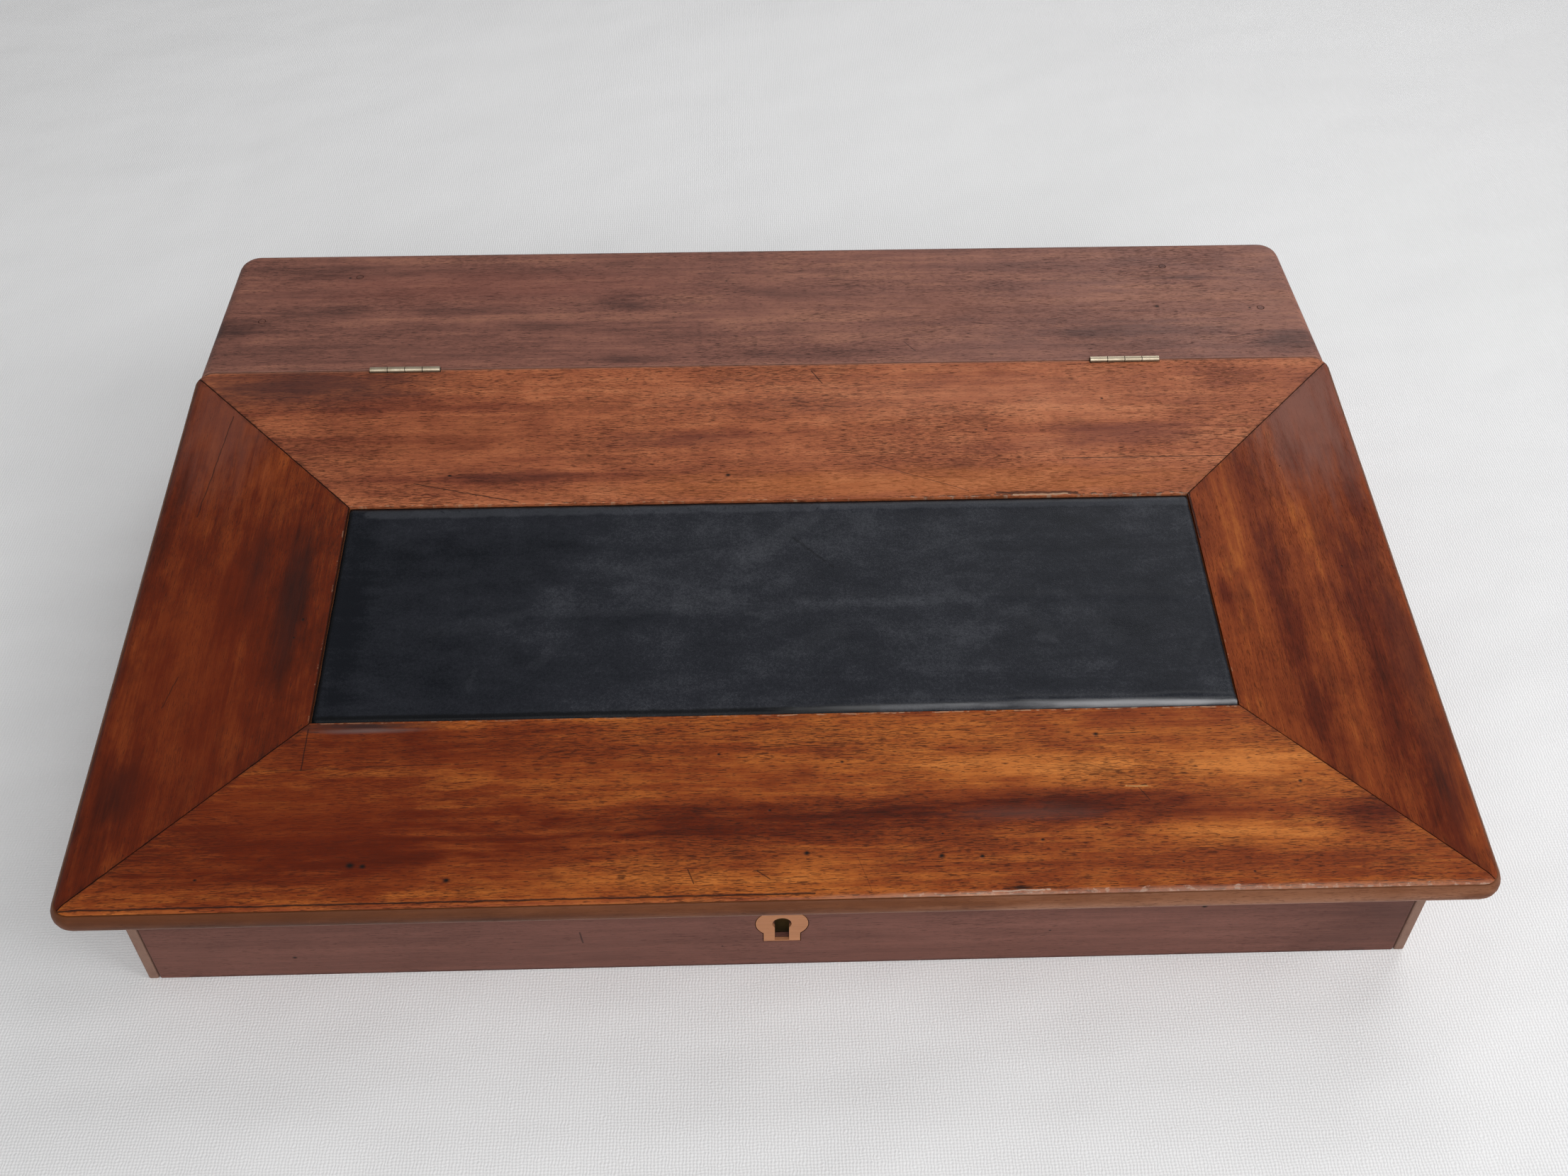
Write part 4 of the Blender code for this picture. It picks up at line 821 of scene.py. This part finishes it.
grit = noiseAt(tree, flat, *leatherLook["grit"])
smoke = noiseAt(tree, flat, *leatherLook["smoke"])
tone = remap(tree, splitAxes(tree, flat)[0], *leatherLook["paler"], smooth=True)
tone = vary(tree, tone, scuffs["Clouds"], leatherLook["cloudPush"])
tone = vary(tree, tone, smoke, leatherLook["smokePush"])
for x, y, reach, breadth, push in leatherLook["patches"]:
    mask = spot(tree, flat, x, y, reach, breadth, leatherLook["patchRag"])
    tone = calc(tree, "MULTIPLY_ADD", mask, push, tone)
tone = vary(tree, tone, grit, leatherLook["gritPush"])
tone = calc(tree, "MULTIPLY_ADD", remap(tree, cells, *leatherLook["cellTone"]),
            leatherLook["cellPush"], tone)
colour = ramp(tree, tone, leatherLook["tones"])
speckle = remap(tree, grit, *leatherLook["speckle"])
for start, end, width, amount in leatherLook["scuffs"]:
    mask = line(tree, flat, start, end, width, leatherLook["scuffWander"], 0.0)
    mask = calc(tree, "MULTIPLY", mask, amount * leatherLook["scuffShare"])
    colour = paint(tree, colour, mask, speckle, leatherLook["rubbed"])
for start, end, width, wander, gaps, amount, look in leatherLook["edges"]:
    mask = line(tree, flat, start, end, width, wander, gaps)
    colour = paint(tree, colour, mask, amount, leatherLook[look])
for x, y, reach, breadth, amount in leatherLook["lipHighlights"]:
    mask = spot(tree, flat, x, y, reach, breadth, leatherLook["lipRag"])
    colour = paint(tree, colour, mask, amount, leatherLook["wearAndSheen"])
colour = paint(tree, colour, scuffs["Mask"], leatherLook["hairShare"], leatherLook["rubbed"])
pebbles = calc(tree, "MULTIPLY_ADD", grit, leatherLook["gritHeight"],
               remap(tree, cells, *leatherLook["cellHeight"]))
wire(tree, shader, {
    "Base Color": colour, "Specular IOR Level": leatherLook["specular"],
    "Roughness": calc(tree, "MULTIPLY_ADD", scuffs["Clouds"], *leatherLook["rough"]),
    "Normal": bump(tree, leatherLook["bump"], pebbles)})
dress(leather, material)
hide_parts("leather_panel")
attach(leather, "lid")
print("leather laid")

# floor of white canvas: a fine weave over soft, wide swells
canvas = dict(colour=(0.86, 0.86, 0.865), size=3.2, thread=0.0011, rough=0.9, specular=0.1,
              slub=((300.0, 300.0, 1.0), 3.0, 0.6), slubTurn=9.0, weftShare=0.6, weaveBump=0.40,
              swell=((5.0, 7.0, 1.0), 3.0, 0.5), swellBump=0.25, swellDepth=0.03)
bm = bmesh.new()
bmesh.ops.create_grid(bm, x_segments=1, y_segments=1, size=canvas["size"] / 2)
floor = addObject("floor", asMesh(bm, "floor"))
material, tree, shader = startMaterial("pale_canvas")
coords = boardPlane(tree)
parts = splitAxes(tree, coords)
slub = calc(tree, "MULTIPLY", noiseAt(tree, coords, *canvas["slub"]), canvas["slubTurn"])
pitch = 2 * math.pi / canvas["thread"]
warp, weft = [calc(tree, "SINE", calc(tree, "MULTIPLY_ADD", parts[axis], pitch, slub))
              for axis in (0, 1)]
weave = bump(tree, canvas["weaveBump"],
             calc(tree, "MULTIPLY_ADD", weft, canvas["weftShare"], warp))
swell = bump(tree, canvas["swellBump"], noiseAt(tree, coords, *canvas["swell"]),
             canvas["swellDepth"], Normal=weave)
wire(tree, shader, {"Base Color": asColour(canvas["colour"]), "Roughness": canvas["rough"],
                    "Specular IOR Level": canvas["specular"], "Normal": swell})
dress(floor, material)

# light: a broad window to the right, soft light from in front and from the wall behind; each has
# a narrow spread in degrees, as behind a softbox grid, so that no floor glares under a lamp
lights = [dict(name="window", place=(1.3, -0.50, 0.9), size=1.0, spread=85, power=2.85),
          dict(name="room", place=(0.15, -1.70, 1.35), size=1.6, spread=80, power=7.5),
          dict(name="wall", place=(0.9, 1.50, 1.3), size=1.4, spread=120, power=6.8)]
aimedAt = Vector((0, 0, 0.04))
for lamp in lights:
    data = bpy.data.lights.new(lamp["name"], "AREA")
    data.shape = "SQUARE"
    data.size = lamp["size"]
    data.energy = lamp["power"]
    data.spread = math.radians(lamp["spread"])
    made = addObject(lamp["name"], data)
    aim = (aimedAt - Vector(lamp["place"])).to_track_quat("-Z", "Y")
    made.matrix_world = Matrix.Translation(lamp["place"]) @ aim.to_matrix().to_4x4()
studio = dict(fill=0.21, backdrop=0.45)            # light on the object, and the pale background
world = bpy.data.worlds.new("studio")
world.use_nodes = True
tree = world.node_tree
rays = addNode(tree, "ShaderNodeLightPath", {}).outputs
seen = calc(tree, "MAXIMUM", rays["Is Camera Ray"], rays["Is Glossy Ray"])
seen = calc(tree, "MAXIMUM", seen, rays["Is Transmission Ray"])
strength = remap(tree, seen, 0.0, 1.0, studio["fill"], studio["backdrop"])
wire(tree, tree.nodes["Background"], {"Color": (1.0, 1.0, 1.0, 1.0), "Strength": strength})
bpy.context.scene.world = world
print("stage lit")
